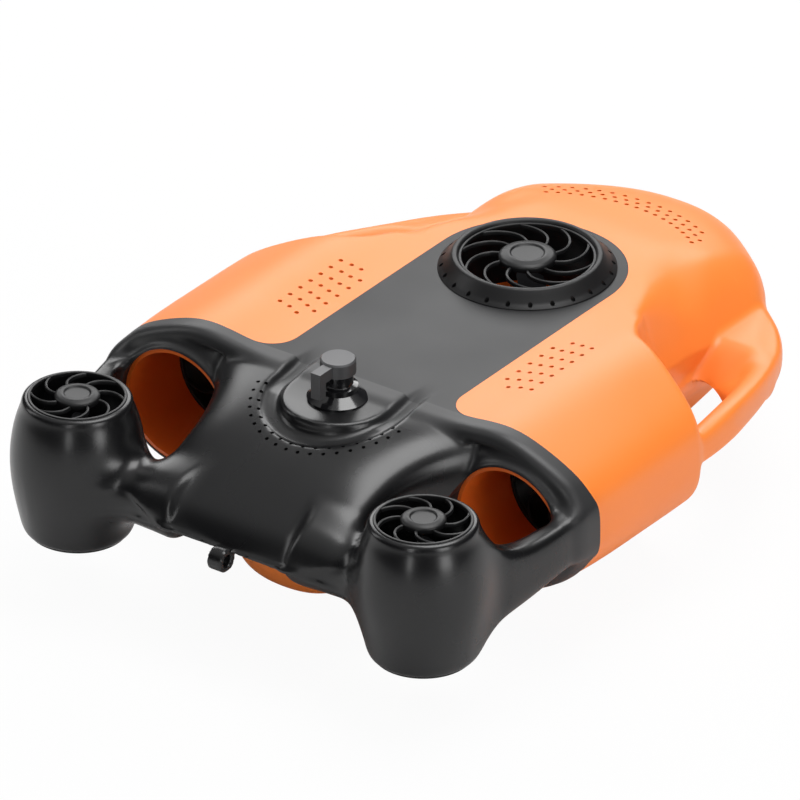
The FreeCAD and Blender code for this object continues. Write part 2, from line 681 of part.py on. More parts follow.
# ---- handle -------------------------------------------------------------------------------------
def handle(side, outer):
    """Grab handle that carries the outline on from the side pod to the nose."""
    edge = HANDLE_OUT_X
    half = HANDLE_THICK / 2.0
    tall = HANDLE_HEIGHT / 2.0
    stations = ((V(edge - 42.0, -22.0, 64.0), 0.0, half * 0.8, tall * 0.75),
                (V(edge - 22.0, 0.0, 64.5), -25.0, half * 0.85, tall * 0.85),
                (V(edge - half - 3.0, 26.0, 67.0), -8.0, half * 0.9, tall * 0.9),
                (V(edge - half, 52.0, 71.0), 8.0, half, tall),
                (V(edge - half - 10.0, 80.0, 76.0), 26.0, half * 1.05, tall),
                (V(edge - half - 27.0, 102.0, 80.0), 42.0, half * 1.1, tall),
                (V(edge - half - 49.0, 118.0, 82.0), 56.0, half * 1.1, tall * 0.95),
                (V(edge - half - 72.0, 130.0, 82.0), 62.0, half, tall * 0.9))
    wires = []
    for centre, turn, wide, height in stations:
        a = math.radians(turn)
        across = V(math.cos(a), math.sin(a), 0)
        wires.append(oval(centre, across, Z_AXIS, wide, height))
    return for_side(loft(wires), side).cut(outer)


# ---- nose ---------------------------------------------------------------------------------------
def camera_bezel():
    front = NOSE_Y - 4.0
    body = rod(BEZEL_R, V(0, front - BEZEL_DEPTH, CAMERA_Z), Y_AXIS, BEZEL_DEPTH)
    lip = Part.makeCone(DOME_R + 4.0, DOME_R, 6.0, V(0, front + 0.01, CAMERA_Z), V(0, -1, 0))
    seat = rod(DOME_R + FIT, V(0, NOSE_Y - DOME_R, CAMERA_Z), Y_AXIS, 20.0)
    bore = rod(CAMERA_R + FIT, V(0, front - BEZEL_DEPTH - 1.0, CAMERA_Z), Y_AXIS, 40.0)
    return body.cut([lip, seat, bore])


def camera_dome():
    centre = V(0, NOSE_Y - DOME_R, CAMERA_Z)
    ball = Part.makeSphere(DOME_R, centre)
    hollow = Part.makeSphere(DOME_R - DOME_WALL, centre)
    front = box(-60, 60, NOSE_Y - DOME_R, NOSE_Y + 5.0, 0, 160)
    return ball.cut(hollow).common(front)


def camera_body():
    back = NOSE_Y - 52.0
    front = NOSE_Y - DOME_R + 3.0
    barrel = rod(CAMERA_R, V(0, back, CAMERA_Z), Y_AXIS, NOSE_Y - 17.5 - back)
    lens = rod(CAMERA_R * 0.6, V(0, back, CAMERA_Z), Y_AXIS, NOSE_Y - 11.0 - back)
    eye = rod(CAMERA_R * 0.42, V(0, NOSE_Y - 12.5, CAMERA_Z), Y_AXIS, 10.0)
    return barrel.fuse(lens).cut(eye)


def lamp_body(side):
    seat, axis = lamp_frame(side)
    start = seat - axis * (LAMP_LENGTH - LAMP_FRONT)
    body = rod(LAMP_R, start, axis, LAMP_LENGTH)
    pocket = rod(LAMP_R - 2.0, seat + axis * (LAMP_FRONT - 6.0), axis, 20.0)
    return body.cut(pocket)


def lamp_lens(side):
    seat, axis = lamp_frame(side)
    return rod(LAMP_R - 2.0 - FIT, seat + axis * (LAMP_FRONT - 6.0), axis, 4.0)


# ---- belly --------------------------------------------------------------------------------------
def plate_hole_places():
    return [(sx * PLATE_SPACING_X / 2.0, PLATE_Y + sy * PLATE_SPACING_Y / 2.0)
            for sx in (-1, 1) for sy in (-1, 1)]


def accessory_plate(outer):
    half_x = PLATE_SPACING_X / 2.0 + PLATE_MARGIN
    half_y = PLATE_SPACING_Y / 2.0 + PLATE_MARGIN
    corners = [(sx * half_x, PLATE_Y + sy * half_y, PLATE_MARGIN)
               for sx, sy in ((-1, -1), (1, -1), (1, 1), (-1, 1))]
    plate = prism(rounded_outline(corners, PLATE_FACE_Z), 14.0).cut(outer)
    holes = [rod(PLATE_HOLE_R, V(x, y, -5), Z_AXIS, 30.0) for x, y in plate_hole_places()]
    return plate.cut(holes)


def skid(side, outer):
    """Rubber rail with sloped ends under the belly."""
    x0 = side * SKID_X - SKID_WIDTH / 2.0
    points = [V(x0, SKID_REAR_Y + 14.0, 0), V(x0, SKID_FRONT_Y - 14.0, 0), V(x0, SKID_FRONT_Y, 9.0),
              V(x0, SKID_FRONT_Y, 30.0), V(x0, SKID_REAR_Y, 30.0), V(x0, SKID_REAR_Y, 9.0)]
    bar = Part.Face(Part.makePolygon(points + points[:1])).extrude(V(SKID_WIDTH, 0, 0))
    return bar.cut(outer)


# ---- sealed case --------------------------------------------------------------------------------
def case_block(inset, z0, z1):
    half = CASE_HALF_WIDTH - inset
    corners = [(half, CASE_REAR_Y + inset, 8.0 - inset), (half, CASE_FRONT_Y - inset, 8.0 - inset),
               (-half, CASE_FRONT_Y - inset, 8.0 - inset), (-half, CASE_REAR_Y + inset, 8.0 - inset)]
    return prism(rounded_outline(corners, z0), z1 - z0)


def case_tray():
    tray = case_block(0.0, CASE_FLOOR_Z, CASE_TOP_Z)
    return tray.cut(case_block(CASE_WALL, CASE_FLOOR_Z + CASE_WALL, CASE_TOP_Z + 1.0))


def case_lid():
    lid = case_block(0.0, CASE_TOP_Z, CASE_TOP_Z + LID_THICK)
    rib = case_block(CASE_WALL + FIT, CASE_TOP_Z - 3.0, CASE_TOP_Z)
    rib = rib.cut(case_block(CASE_WALL + 3.0, CASE_TOP_Z - 4.0, CASE_TOP_Z))
    return lid.fuse(rib)


def battery_pack():
    gap = CASE_WALL + 2.0
    return box(-CASE_HALF_WIDTH + gap, CASE_HALF_WIDTH - gap, CASE_REAR_Y + gap,
               (CASE_REAR_Y + CASE_FRONT_Y) / 2.0 - 3.0, CASE_FLOOR_Z + CASE_WALL, CASE_TOP_Z - 14.0)


def controller_board():
    gap = CASE_WALL + 3.0
    floor = CASE_FLOOR_Z + CASE_WALL
    rear = (CASE_REAR_Y + CASE_FRONT_Y) / 2.0 + 3.0
    board = box(-CASE_HALF_WIDTH + gap, CASE_HALF_WIDTH - gap, rear, CASE_FRONT_Y - gap,
                floor + 10.0, floor + 12.0)
    chips = [box(-18, 18, rear + 8.0, rear + 30.0, floor + 12.0, floor + 16.0)]
    for x in (-1, 1):
        for y in (rear + 4.0, CASE_FRONT_Y - gap - 4.0):
            chips.append(rod(2.5, V(x * (CASE_HALF_WIDTH - gap - 5.0), y, floor), Z_AXIS, 10.0))
    return fuse_all([board] + chips)


# ---- tether socket ------------------------------------------------------------------------------
def tether_socket():
    base = TONGUE_TOP_Z
    neck_top = CAP_TOP_Z - CAP_HEIGHT - CAP_GAP
    return revolve(((0, base), (SOCKET_FLANGE_R, base), (SOCKET_FLANGE_R, base + 1.2),
                    (SOCKET_FLANGE_R - 3.5, base + 3.4), (SOCKET_NECK_R + 2.5, base + SOCKET_FLANGE_RISE),
                    (SOCKET_NECK_R + 2.5, base + SOCKET_FLANGE_RISE + 3.0),
                    (SOCKET_NECK_R, base + SOCKET_FLANGE_RISE + 4.0), (SOCKET_NECK_R, neck_top),
                    (SHAFT_R + 1.0, neck_top), (SHAFT_R + 1.0, neck_top + 5.0), (0, neck_top + 5.0)),
                   V(0, TONGUE_Y, 0))


def socket_cap():
    base = CAP_TOP_Z - CAP_HEIGHT
    cap = revolve(((0, base), (CAP_R, base), (CAP_R, base + CAP_HEIGHT - 0.8),
                   (CAP_R - 0.8, CAP_TOP_Z), (0, CAP_TOP_Z)), V(0, TONGUE_Y, 0))
    half = LEVER_WIDTH / 2.0
    arm = box(-half, half, TONGUE_Y - LEVER_REACH, TONGUE_Y, base + 0.5, CAP_TOP_Z - 1.0)
    leg = box(-half, half, TONGUE_Y - LEVER_REACH, TONGUE_Y - LEVER_REACH + 5.0,
              TONGUE_TOP_Z + SOCKET_FLANGE_RISE + 2.5, CAP_TOP_Z - 1.0)
    pin_hole = rod(SHAFT_R + 1.0 + SHAFT_GAP, V(0, TONGUE_Y, base - 1.0), Z_AXIS, 6.2)
    return fuse_all([cap, arm, leg]).cut(pin_hole)


# ---- thrusters in place ---------------------------------------------------------------------------
def thruster_nodes(outer):
    nodes = {}
    main_motor_r = 12.5
    small_motor_r = 9.5
    deck_top = DECK_Z + MAIN_COLLAR_RISE
    main_axis = V(0, MAIN_Y, 0)
    # main tunnel, blowing straight up and down
    collar = placed(main_top_guard(), main_axis + V(0, 0, deck_top), False)
    nodes["main_guard_top"] = collar.cut(outer)
    lower_face = PARTING_Z - BELLY_DEPTH + 5.0
    low = guard(MAIN_R - 0.05, MAIN_HUB_R, MAIN_SPOKES, 42.0, 1.8)
    low.rotate(V(0, 0, 0), X_AXIS, 180)
    nodes["main_guard_bottom"] = placed(low, main_axis + V(0, 0, lower_face), False)
    main_motor_z = 84.0
    nodes["main_motor"] = placed(motor(MAIN_R, main_motor_r), main_axis + V(0, 0, main_motor_z), False)
    nodes["main_propeller"] = placed(propeller(MAIN_R, 9.0), main_axis + V(0, 0, main_motor_z + RUN_GAP), False)
    for name, side in SIDES:
        # tail barrel
        axis = V(side * BARREL_X, BARREL_Y, 0)
        top = guard(BARREL_BORE_R + GUARD_RIM - FIT, TAIL_HUB_R, TAIL_SPOKES, 36.0 * side, 1.8)
        nodes["tail_guard_top_" + name] = placed(top, axis + V(0, 0, BARREL_TOP_Z - GUARD_SEAT + GUARD_THICK), False)
        low = guard(BARREL_BORE_R + GUARD_RIM - FIT, TAIL_HUB_R, TAIL_SPOKES, 36.0 * side, 1.8)
        low.rotate(V(0, 0, 0), X_AXIS, 180)
        nodes["tail_guard_bottom_" + name] = placed(low, axis + V(0, 0, BARREL_TOP_Z - BARREL_HEIGHT + GUARD_SEAT - GUARD_THICK), False)
        motor_z = BARREL_TOP_Z - 30.0
        nodes["tail_motor_" + name] = placed(motor(BARREL_BORE_R, small_motor_r), axis + V(0, 0, motor_z), False)
        nodes["tail_propeller_" + name] = placed(propeller(BARREL_BORE_R, 7.0),
                                                 axis + V(0, 0, motor_z + RUN_GAP), False)
        # horizontal duct
        axis = V(side * DUCT_X, 0, DUCT_Z)
        rear = guard(DUCT_R - 0.05, TAIL_HUB_R, TAIL_SPOKES, 36.0 * side, 1.8)
        rear.rotate(V(0, 0, 0), X_AXIS, 180)
        nodes["duct_guard_rear_" + name] = placed(rear, axis + V(0, DUCT_GUARD_Y, 0), True)
        front = guard(DUCT_R - 0.05, TAIL_HUB_R, TAIL_SPOKES, 36.0 * side, 1.8)
        nodes["duct_guard_front_" + name] = placed(front, axis + V(0, DUCT_FRONT_GUARD_Y, 0), True)
        drive = motor(DUCT_R, small_motor_r + 1.0)
        drive.rotate(V(0, 0, 0), X_AXIS, 180)
        nodes["duct_motor_" + name] = placed(drive, axis + V(0, -30.0, 0), True)
        screw = propeller(DUCT_R, 8.0)
        screw.rotate(V(0, 0, 0), X_AXIS, 180)
        nodes["duct_propeller_" + name] = placed(screw, axis + V(0, -30.0 - RUN_GAP, 0), True)
    return nodes


def main_top_guard():
    """Guard of the main tunnel with its raised, rounded collar that lies on the deck."""
    inner = MAIN_R
    outer = MAIN_COLLAR_R
    rise = MAIN_COLLAR_RISE
    collar = revolve(((inner - 0.2, -GUARD_THICK), (inner - 0.2, 0.3), (inner + 2.0, 1.8), (inner + 5.0, 2.0),
                      (outer - 4.5, -0.6), (outer - 1.2, -4.6), (outer, -rise), (inner + LINER_WALL + 0.5, -rise),
                      (inner + LINER_WALL + 0.5, -GUARD_THICK)), V(0, 0, 0))
    grille = guard(MAIN_R, MAIN_HUB_R, MAIN_SPOKES, 42.0, 2.4)
    return collar.fuse(grille).removeSplitter()


def main_liner():
    top = DECK_Z + MAIN_COLLAR_RISE - GUARD_THICK
    bottom = PARTING_Z - BELLY_DEPTH + 2.2
    return tube(MAIN_R + LINER_WALL, MAIN_R, V(0, MAIN_Y, bottom), Z_AXIS, top - bottom)


def duct_liner(side):
    start = V(side * DUCT_X, DUCT_MOUTH_Y, DUCT_Z)
    body = tube(DUCT_R + LINER_WALL, DUCT_R, start, Y_AXIS, 180.0)
    return body.cut(beyond_pod_face(side, 0.0))


# ---- assembly -----------------------------------------------------------------------------------
def build():
    nodes = {}
    outer, body = shell_solids()
    nodes["upper_shell"] = upper_shell(body)
    nodes["lower_shell"] = lower_shell(outer, body)
    nodes["deck_panel"] = deck_panel()
    cover = tail_cover()
    nodes["tail_cover"] = cover
    barrel = tail_barrel(cover)
    for name, side in SIDES:
        nodes["tail_barrel_" + name] = for_side(barrel, side)
        nodes["duct_liner_" + name] = duct_liner(side)
        nodes["skid_" + name] = skid(side, outer)
        nodes["handle_" + name] = handle(side, outer)
        nodes["lamp_body_" + name] = lamp_body(side)
        nodes["lamp_lens_" + name] = lamp_lens(side)
    nodes["main_liner"] = main_liner()
    nodes.update(thruster_nodes(outer))
    nodes["camera_bezel"] = camera_bezel()
    nodes["camera_dome"] = camera_dome()
    nodes["camera_body"] = camera_body()
    nodes["accessory_plate"] = accessory_plate(outer)
    nodes["case_tray"] = case_tray()
    nodes["case_lid"] = case_lid()
    nodes["battery_pack"] = battery_pack()
    nodes["controller_board"] = controller_board()
    nodes["tether_socket"] = tether_socket()
    nodes["socket_cap"] = socket_cap()
    return nodes


def main():
    os.makedirs("parts", exist_ok=True)
    for name, shape in build().items():
        solids = shape.Solids
        whole = solids[0] if len(solids) == 1 else Part.makeCompound(solids)
        whole.exportStep("parts/" + name + ".step")
        print(name, len(solids), "solids, valid", whole.isValid(), "volume", round(whole.Volume / 1000.0, 1), "cm3")


main()
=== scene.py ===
"""Underwater inspection vehicle: orange lofted hull, black tail housing, guarded thrusters."""
import math

import bmesh
import bpy
import numpy as np
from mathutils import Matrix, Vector


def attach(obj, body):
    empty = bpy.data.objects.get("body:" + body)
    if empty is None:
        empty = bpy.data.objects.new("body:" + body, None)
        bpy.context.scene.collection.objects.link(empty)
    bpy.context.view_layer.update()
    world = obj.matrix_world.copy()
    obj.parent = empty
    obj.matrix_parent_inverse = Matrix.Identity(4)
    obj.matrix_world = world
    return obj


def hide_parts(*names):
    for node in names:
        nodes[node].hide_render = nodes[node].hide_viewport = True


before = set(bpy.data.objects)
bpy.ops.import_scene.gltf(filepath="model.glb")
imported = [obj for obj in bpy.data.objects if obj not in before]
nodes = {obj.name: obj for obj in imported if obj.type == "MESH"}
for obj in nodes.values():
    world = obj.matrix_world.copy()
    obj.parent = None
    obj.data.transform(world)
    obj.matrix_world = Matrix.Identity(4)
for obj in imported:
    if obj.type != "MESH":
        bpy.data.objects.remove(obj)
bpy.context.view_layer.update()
MM = 0.001

# ---- sizes of the vehicle in millimetres, in the row's frame ----
NOSE_Y = 215.0
SEAM_Z = 68.0
SHELL_REAR_Y = -82.5
SHELL_TRIM_Y = -97.0
RIM_Y = -95.2
TONGUE_Y = -101.6
TONGUE_R = 31.0
MAIN_Y = 67.4
MAIN_R = 36.4
MAIN_HOLE_R = 38.55
DUCT_X = 107.0
DUCT_Z = 68.0
DUCT_R = 31.0
DUCT_HOLE_R = 33.15
DUCT_GUARD_R = 30.95
BARREL_X = 111.0
BARREL_Y = -179.6
BARREL_TOP = 110.0
BARREL_FOOT = 31.0
BARREL_BORE_R = 24.6
GUARD_SEAT_R = 26.2
TAIL_GUARD_R = 26.05
PANEL_HALF = 53.0
PANEL_CORNER_R = 17.5
PANEL_DEPTH = 1.65
HANDLE_FOOT_Z = 62.0
SHELF_Z = 78.0
WAIST_X = 90.0
POD_FRONT_Y = 40
POD_SLOPE = 0.445
STERN_END_Y = -158.5
COLLAR_OUTER_R = 47.4
COLLAR_PIT_R = 45.3
COLLAR_PITS = 24
DRAIN_R = 1.3
FIT_GAP = 0.15
WALL = 3.0


# ---- node trees ----
def set_inputs(made, values):
    for key, value in values.items():
        made.inputs[key].default_value = value
    return made


def node(tree, kind, values=None, **settings):
    """New node with its settings and then its input values."""
    made = tree.nodes.new(kind)
    for key, value in settings.items():
        setattr(made, key, value)
    return set_inputs(made, values or {})


def wire(tree, *links):
    """Link outputs to inputs, each link given as node, output, node and input."""
    for source, output, target, entry in links:
        tree.links.new(source.outputs[output], target.inputs[entry])


def node_group(name, kind, inputs, outputs):
    """Node group with named sockets, and its two end nodes."""
    tree = bpy.data.node_groups.new(name, kind)
    for way, sockets in (("INPUT", inputs), ("OUTPUT", outputs)):
        for label, sort in sockets.items():
            tree.interface.new_socket(name=label, in_out=way, socket_type="NodeSocket" + sort)
    return tree, node(tree, "NodeGroupInput"), node(tree, "NodeGroupOutput")


def link(obj):
    bpy.context.collection.objects.link(obj)
    return obj


def placed(data, place, back):
    """Object for a camera or lamp whose back faces that way."""
    obj = link(bpy.data.objects.new(data.name, data))
    obj.location = place
    obj.rotation_mode = "QUATERNION"
    obj.rotation_quaternion = back.to_track_quat("Z", "Y")
    return obj


# ---- camera, light and floor ----
VIEW_AZIMUTH = math.radians(35.9)
VIEW_ELEVATION = math.radians(29.3)
VIEW_SIZE = 800
# view units per millimetre, and where the middle between the barrels' tops lies in the view
VIEW_SCALE = 1.907
ANCHOR_ACROSS = 251.5
ANCHOR_DOWN = 456.8
TARGET_Z = 70
LENS = 900
SENSOR = 36
LIGHT_AIM = (0, 0, 0.07)
# name, place, width, depth and power
SOFTBOXES = (
    ("overhead_softbox", (0.15, 0.25, 1.45), 1.0, 0.8, 15.0),
    ("front_softbox", (-0.85, 1.15, 0.90), 1.5, 0.8, 14.0),
    ("rear_strip", (0.35, -1.35, 0.55), 0.16, 0.9, 2.2),
    ("starboard_softbox", (1.5, -0.5, 0.55), 0.5, 0.9, 8.0),
    ("side_softbox", (-1.3, -0.5, 0.7), 0.4, 0.9, 2.5),
)
FLOOR_HALF = 3.0
FLOOR_Z = -0.0002
FLOOR_WHITE_SHARE = 0.95


def place_camera():
    """Long lens from behind the starboard quarter."""
    bpy.context.scene.view_settings.view_transform = "Standard"
    right = Vector((math.cos(VIEW_AZIMUTH), math.sin(VIEW_AZIMUTH), 0))
    up = Vector((-math.sin(VIEW_AZIMUTH) * math.sin(VIEW_ELEVATION),
                 math.cos(VIEW_AZIMUTH) * math.sin(VIEW_ELEVATION), math.cos(VIEW_ELEVATION)))
    back = right.cross(up)
    middle = VIEW_SIZE / 2
    anchor = Vector((0, BARREL_Y, BARREL_TOP))
    target = (anchor + right * ((middle - ANCHOR_ACROSS) / VIEW_SCALE)
              + up * ((ANCHOR_DOWN - middle) / VIEW_SCALE))
    target += back * (Vector((0, 0, TARGET_Z)) - target).dot(back)
    data = bpy.data.cameras.new("view")
    data.lens = LENS
    data.sensor_width = SENSOR
    data.clip_start = 0.1
    data.clip_end = 100
    distance = VIEW_SIZE * LENS / (SENSOR * VIEW_SCALE)
    bpy.context.scene.camera = placed(data, (target + back * distance) * MM, back)


def area_light(name, place, width, depth, power):
    data = bpy.data.lights.new(name, "AREA")
    data.shape = "RECTANGLE"
    data.size = width
    data.size_y = depth
    data.energy = power
    placed(data, place, Vector(place) - Vector(LIGHT_AIM))


def light_scene():
    """Softboxes, and a world that is white to the camera and graded from dark to white as light."""
    for softbox in SOFTBOXES:
        area_light(*softbox)
    world = bpy.data.worlds.new("studio")
    bpy.context.scene.world = world
    world.use_nodes = True
    tree = world.node_tree
    tree.nodes.clear()
    out = node(tree, "ShaderNodeOutputWorld")
    white = node(tree, "ShaderNodeBackground", {"Color": (1, 1, 1, 1), "Strength": 1.0})
    glow = node(tree, "ShaderNodeBackground", {"Strength": 0.62})
    sky = node(tree, "ShaderNodeTexCoord")
    split = node(tree, "ShaderNodeSeparateXYZ")
    ramp = node(tree, "ShaderNodeValToRGB")
    dark, bright = ramp.color_ramp.elements
    dark.position = 0.52
    dark.color = (0.06, 0.06, 0.063, 1)
    bright.position = 0.95
    bright.color = (1, 1, 1, 1)
    rays = node(tree, "ShaderNodeLightPath")
    mix = node(tree, "ShaderNodeMixShader")
    wire(tree, (sky, "Generated", split, 0), (split, "Z", ramp, "Fac"),
         (ramp, "Color", glow, "Color"), (rays, "Is Camera Ray", mix, "Fac"), (glow, 0, mix, 1),
         (white, 0, mix, 2), (mix, 0, out, "Surface"))


def lay_floor():
    """Pale floor; the camera sees it mostly as the white of the background."""
    material = bpy.data.materials.new("pale_floor")
    material.use_nodes = True
    tree = material.node_tree
    shader = tree.nodes["Principled BSDF"]
    set_inputs(shader, {"Base Color": (0.78, 0.78, 0.78, 1), "Roughness": 0.9,
                        "Specular IOR Level": 0.1})
    glow = node(tree, "ShaderNodeEmission", {"Strength": 1.0})
    rays = node(tree, "ShaderNodeLightPath")
    share = node(tree, "ShaderNodeMath", {1: FLOOR_WHITE_SHARE}, operation="MULTIPLY")
    mix = node(tree, "ShaderNodeMixShader")
    wire(tree, (rays, "Is Camera Ray", share, 0), (share, 0, mix, "Fac"), (shader, 0, mix, 1),
         (glow, 0, mix, 2), (mix, 0, tree.nodes["Material Output"], "Surface"))
    mesh = bpy.data.meshes.new("floor")
    corners = [(x * FLOOR_HALF, y * FLOOR_HALF, FLOOR_Z)
               for x, y in ((-1, -1), (1, -1), (1, 1), (-1, 1))]
    mesh.from_pydata(corners, [], [(0, 1, 2, 3)])
    mesh.materials.append(material)
    floor = link(bpy.data.objects.new("floor", mesh))


place_camera()
light_scene()
lay_floor()


# ---- surface of a form given by a distance-like value ----
def track(places, values):
    """Natural cubic curve through the stations, held flat past its ends."""
    t = np.array(places, float)
    v = np.array(values, float)
    order = np.argsort(t)
    t = t[order]
    v = v[order]
    n = len(t)
    step = np.diff(t)
    matrix = np.eye(n)
    right = np.zeros(n)
    for i in range(1, n - 1):
        matrix[i, i - 1] = step[i - 1]
        matrix[i, i] = 2 * (step[i - 1] + step[i])
        matrix[i, i + 1] = step[i]
        right[i] = 6 * ((v[i + 1] - v[i]) / step[i] - (v[i] - v[i - 1]) / step[i - 1])
    bend = np.linalg.solve(matrix, right)

    def at(x):
        x = np.clip(x, t[0], t[-1])
        i = np.clip(np.searchsorted(t, x, side="right") - 1, 0, n - 2)
        h = step[i]
        a = (t[i + 1] - x) / h
        b = (x - t[i]) / h
        return (a * v[i] + b * v[i + 1]
                + ((a ** 3 - a) * bend[i] + (b ** 3 - b) * bend[i + 1]) * h * h / 6)
    return at


def join(a, b, soft):
    """Union of two forms with a fillet."""
    h = np.clip(0.5 + 0.5 * (b - a) / soft, 0, 1)
    return b * (1 - h) + a * h - soft * h * (1 - h)


def both(a, b, soft):
    """What two forms have in common, with a rounded edge."""
    return -join(-a, -b, soft)


def ease(value, low, high):
    s = np.clip((value - low) / (high - low), 0, 1)
    return s * s * (3 - 2 * s)


def round_section(across, up, power):
    """Distance-like value of a superellipse from its two shares."""
    a = np.maximum(np.abs(across[0]) / across[1], 1e-3)
    b = np.maximum(np.abs(up[0]) / up[1], 1e-3)
    reach = (a ** power + b ** power) ** (1.0 / power)
    slope = reach ** (1 - power) * np.sqrt((a ** (power - 1) / across[1]) ** 2
                                           + (b ** (power - 1) / up[1]) ** 2)
    return (reach - 1) / np.maximum(slope, 1e-4)


def skin(form, low, high, cell, settle_rounds=3):
    """Vertices and quads of the surface where the form's value is zero."""
    axes = [np.arange(a, b + cell, cell) for a, b in zip(low, high)]
    value = form(*np.ix_(*axes))
    inside = value < 0
    shape = np.array(value.shape)
    total = np.zeros(shape - 1, np.int8)
    for dx, dy, dz in np.ndindex(2, 2, 2):
        total += inside[dx:shape[0] - 1 + dx, dy:shape[1] - 1 + dy, dz:shape[2] - 1 + dz]
    active = (total > 0) & (total < 8)
    cells = np.argwhere(active)
    number = np.full(active.shape, -1)
    number[active] = np.arange(len(cells))
    place = np.zeros((len(cells), 3))
    hits = np.zeros(len(cells))
    for d in range(3):
        unit = np.eye(3, dtype=int)[d]
        e, f = [k for k in range(3) if k != d]
        for i, j in np.ndindex(2, 2):
            start = cells.copy()
            start[:, e] += i
            start[:, f] += j
            va = value[tuple(start.T)]
            vb = value[tuple((start + unit).T)]
            cross = (va < 0) != (vb < 0)
            share = va[cross] / (va[cross] - vb[cross])
            place[cross] += start[cross] + share[:, None] * unit
            hits[cross] += 1
    points = np.array([a[0] for a in axes]) + cell * place / hits[:, None]
    quads = []
    for d in range(3):
        e, f = [(1, 2), (2, 0), (0, 1)][d]
        unit = np.eye(3, dtype=int)[d]
        first = inside[tuple(slice(0, -1) if k == d else slice(None) for k in range(3))]
        second = inside[tuple(slice(1, None) if k == d else slice(None) for k in range(3))]
        edge = np.argwhere(first != second)
        ok = ((edge[:, e] > 0) & (edge[:, f] > 0)
              & (edge[:, e] < shape[e] - 1) & (edge[:, f] < shape[f] - 1))
        edge = edge[ok]
        out = first[tuple(edge.T)]
        ring = []
        for i, j in ((-1, -1), (0, -1), (0, 0), (-1, 0)):
            c = edge.copy()
            c[:, e] += i
            c[:, f] += j
            ring.append(number[tuple(c.T)])
        quad = np.stack(ring, 1)
        quad[~out] = quad[~out][:, ::-1]
        quads.append(quad)
    quads = np.concatenate(quads)
    edges = np.concatenate([quads[:, [0, 1]], quads[:, [1, 2]], quads[:, [2, 3]], quads[:, [3, 0]]])
    for _ in range(settle_rounds):
        points = settle(points, form, cell)
        pull = np.zeros_like(points)
        for k in range(3):
            pull[:, k] = np.bincount(edges[:, 0], points[edges[:, 1], k], len(points))
        pull /= np.bincount(edges[:, 0], minlength=len(points))[:, None]
        normal = uphill(points, form)
        shift = (pull - points) * 0.5
        points = points + shift - normal * (shift * normal).sum(1)[:, None]
    points = settle(points, form, cell)
    points = settle(points, form, cell)
    return points, quads


def uphill(points, form):
    """Unit direction in which the form's value grows."""
    grow = slope_of(points, form)
    return grow / np.maximum(np.linalg.norm(grow, axis=1), 1e-6)[:, None]


def slope_of(points, form, step=0.25):
    grow = np.zeros_like(points)
    for k in range(3):
        shift = np.zeros(3)
        shift[k] = step
        grow[:, k] = (form(*(points + shift).T) - form(*(points - shift).T)) / (2 * step)
    return grow


def settle(points, form, cell):
    """Move the points onto the surface along the steepest way."""
    grow = slope_of(points, form)
    value = form(*points.T)
    move = -value[:, None] * grow / np.maximum((grow ** 2).sum(1), 0.05)[:, None]
    length = np.linalg.norm(move, axis=1)
    limit = np.minimum(1.0, 0.6 * cell / np.maximum(length, 1e-9))
    return points + move * limit[:, None]


# ---- the hull's form ----
STATION_Y = (-97, -82.5, -30, 25, 75, 110, 133, 155, 175, 191, 203, 210.5, 214.4)
STATION_U = [math.sqrt(NOSE_Y - y) for y in STATION_Y]
HALF_WIDTH = track(STATION_U, (149.5, 151, 152.5, 151, 140, 125, 111, 95, 77, 59, 44, 31, 21))
CROWN = track(STATION_U, (44, 44, 44, 44, 44, 43.4, 41.5, 37.6, 34, 29.8, 24.5, 19, 13))
BELLY = track(STATION_U, (57, 58.5, 60, 60, 60, 59, 56.5, 52.5, 48, 41, 32, 23, 15))
SQUARE_UP = track(STATION_U, (3.9, 3.9, 3.8, 3.7, 3.5, 3.3, 3.2, 3.1, 2.9, 2.7, 2.5, 2.3, 2.2))
SQUARE_DOWN = track(STATION_U, (2.15, 2.15, 2.15, 2.2, 2.3, 2.4, 2.5, 2.5, 2.5, 2.5, 2.4,
                                2.3, 2.2))
POD_CREST = track(STATION_U, (6, 6, 6, 6, 3.6, 1.2, 0, 0, 0, 0, 0, 0, 0))


def full_hull(x, y, z):
    """Hull before its recesses: one squareness above the seam, one below, with the pods' crest."""
    u = np.sqrt(np.clip(NOSE_Y - y, 0, None))
    rise = z - SEAM_Z
    above = rise > 0
    crest = POD_CREST(u) * np.exp(-((np.abs(x) - 100) / 28) ** 2)
    height = np.where(above, CROWN(u) + crest, BELLY(u))
    power = np.where(above, SQUARE_UP(u), SQUARE_DOWN(u))
    return both(round_section((x, HALF_WIDTH(u)), (rise, height), power), y - NOSE_Y + 0.3, 1.5)


# how far the waist's wall is tucked under, by height, and how much it leans in, along the hull
WAIST_INSET = track((-20, 8, 20, 38, 50, 68), (31, 30, 27.5, 16, 5, 0))
WALL_LEAN = track((43, 66, 90, 124, 160), (0.08, 0.35, 0.50, 0.66, 0.70))


def waist_wall(x, y, z):
    """Wall between the deck and the handles: undercut below the seam, leaning in above."""
    lean = WALL_LEAN(y) * np.clip(z - 76.0, 0, None)
    return (WAIST_X - WAIST_INSET(z) - lean - np.abs(x)) * 0.9


def pod_face(ax, y):
    """Slanted front face of the pods: negative ahead of it."""
    return (POD_FRONT_Y - (ax - WAIST_X) * POD_SLOPE - y) * 0.913


def waist_recess(x, y, z):
    """Inside the deep recess between the pod and the nose shoulder."""
    ax = np.abs(x)
    under = ease(HANDLE_FOOT_Z - z, 0, 12)
    front = 97 - 0.62 * np.minimum(ax - 90, 30) + 1.6 * np.maximum(ax - 120, 0)
    shoulder = (y - front * (1 - under) - 165 * under) * 0.75
    return both(both(waist_wall(x, y, z), pod_face(ax, y), 8.0), shoulder, 14.0)


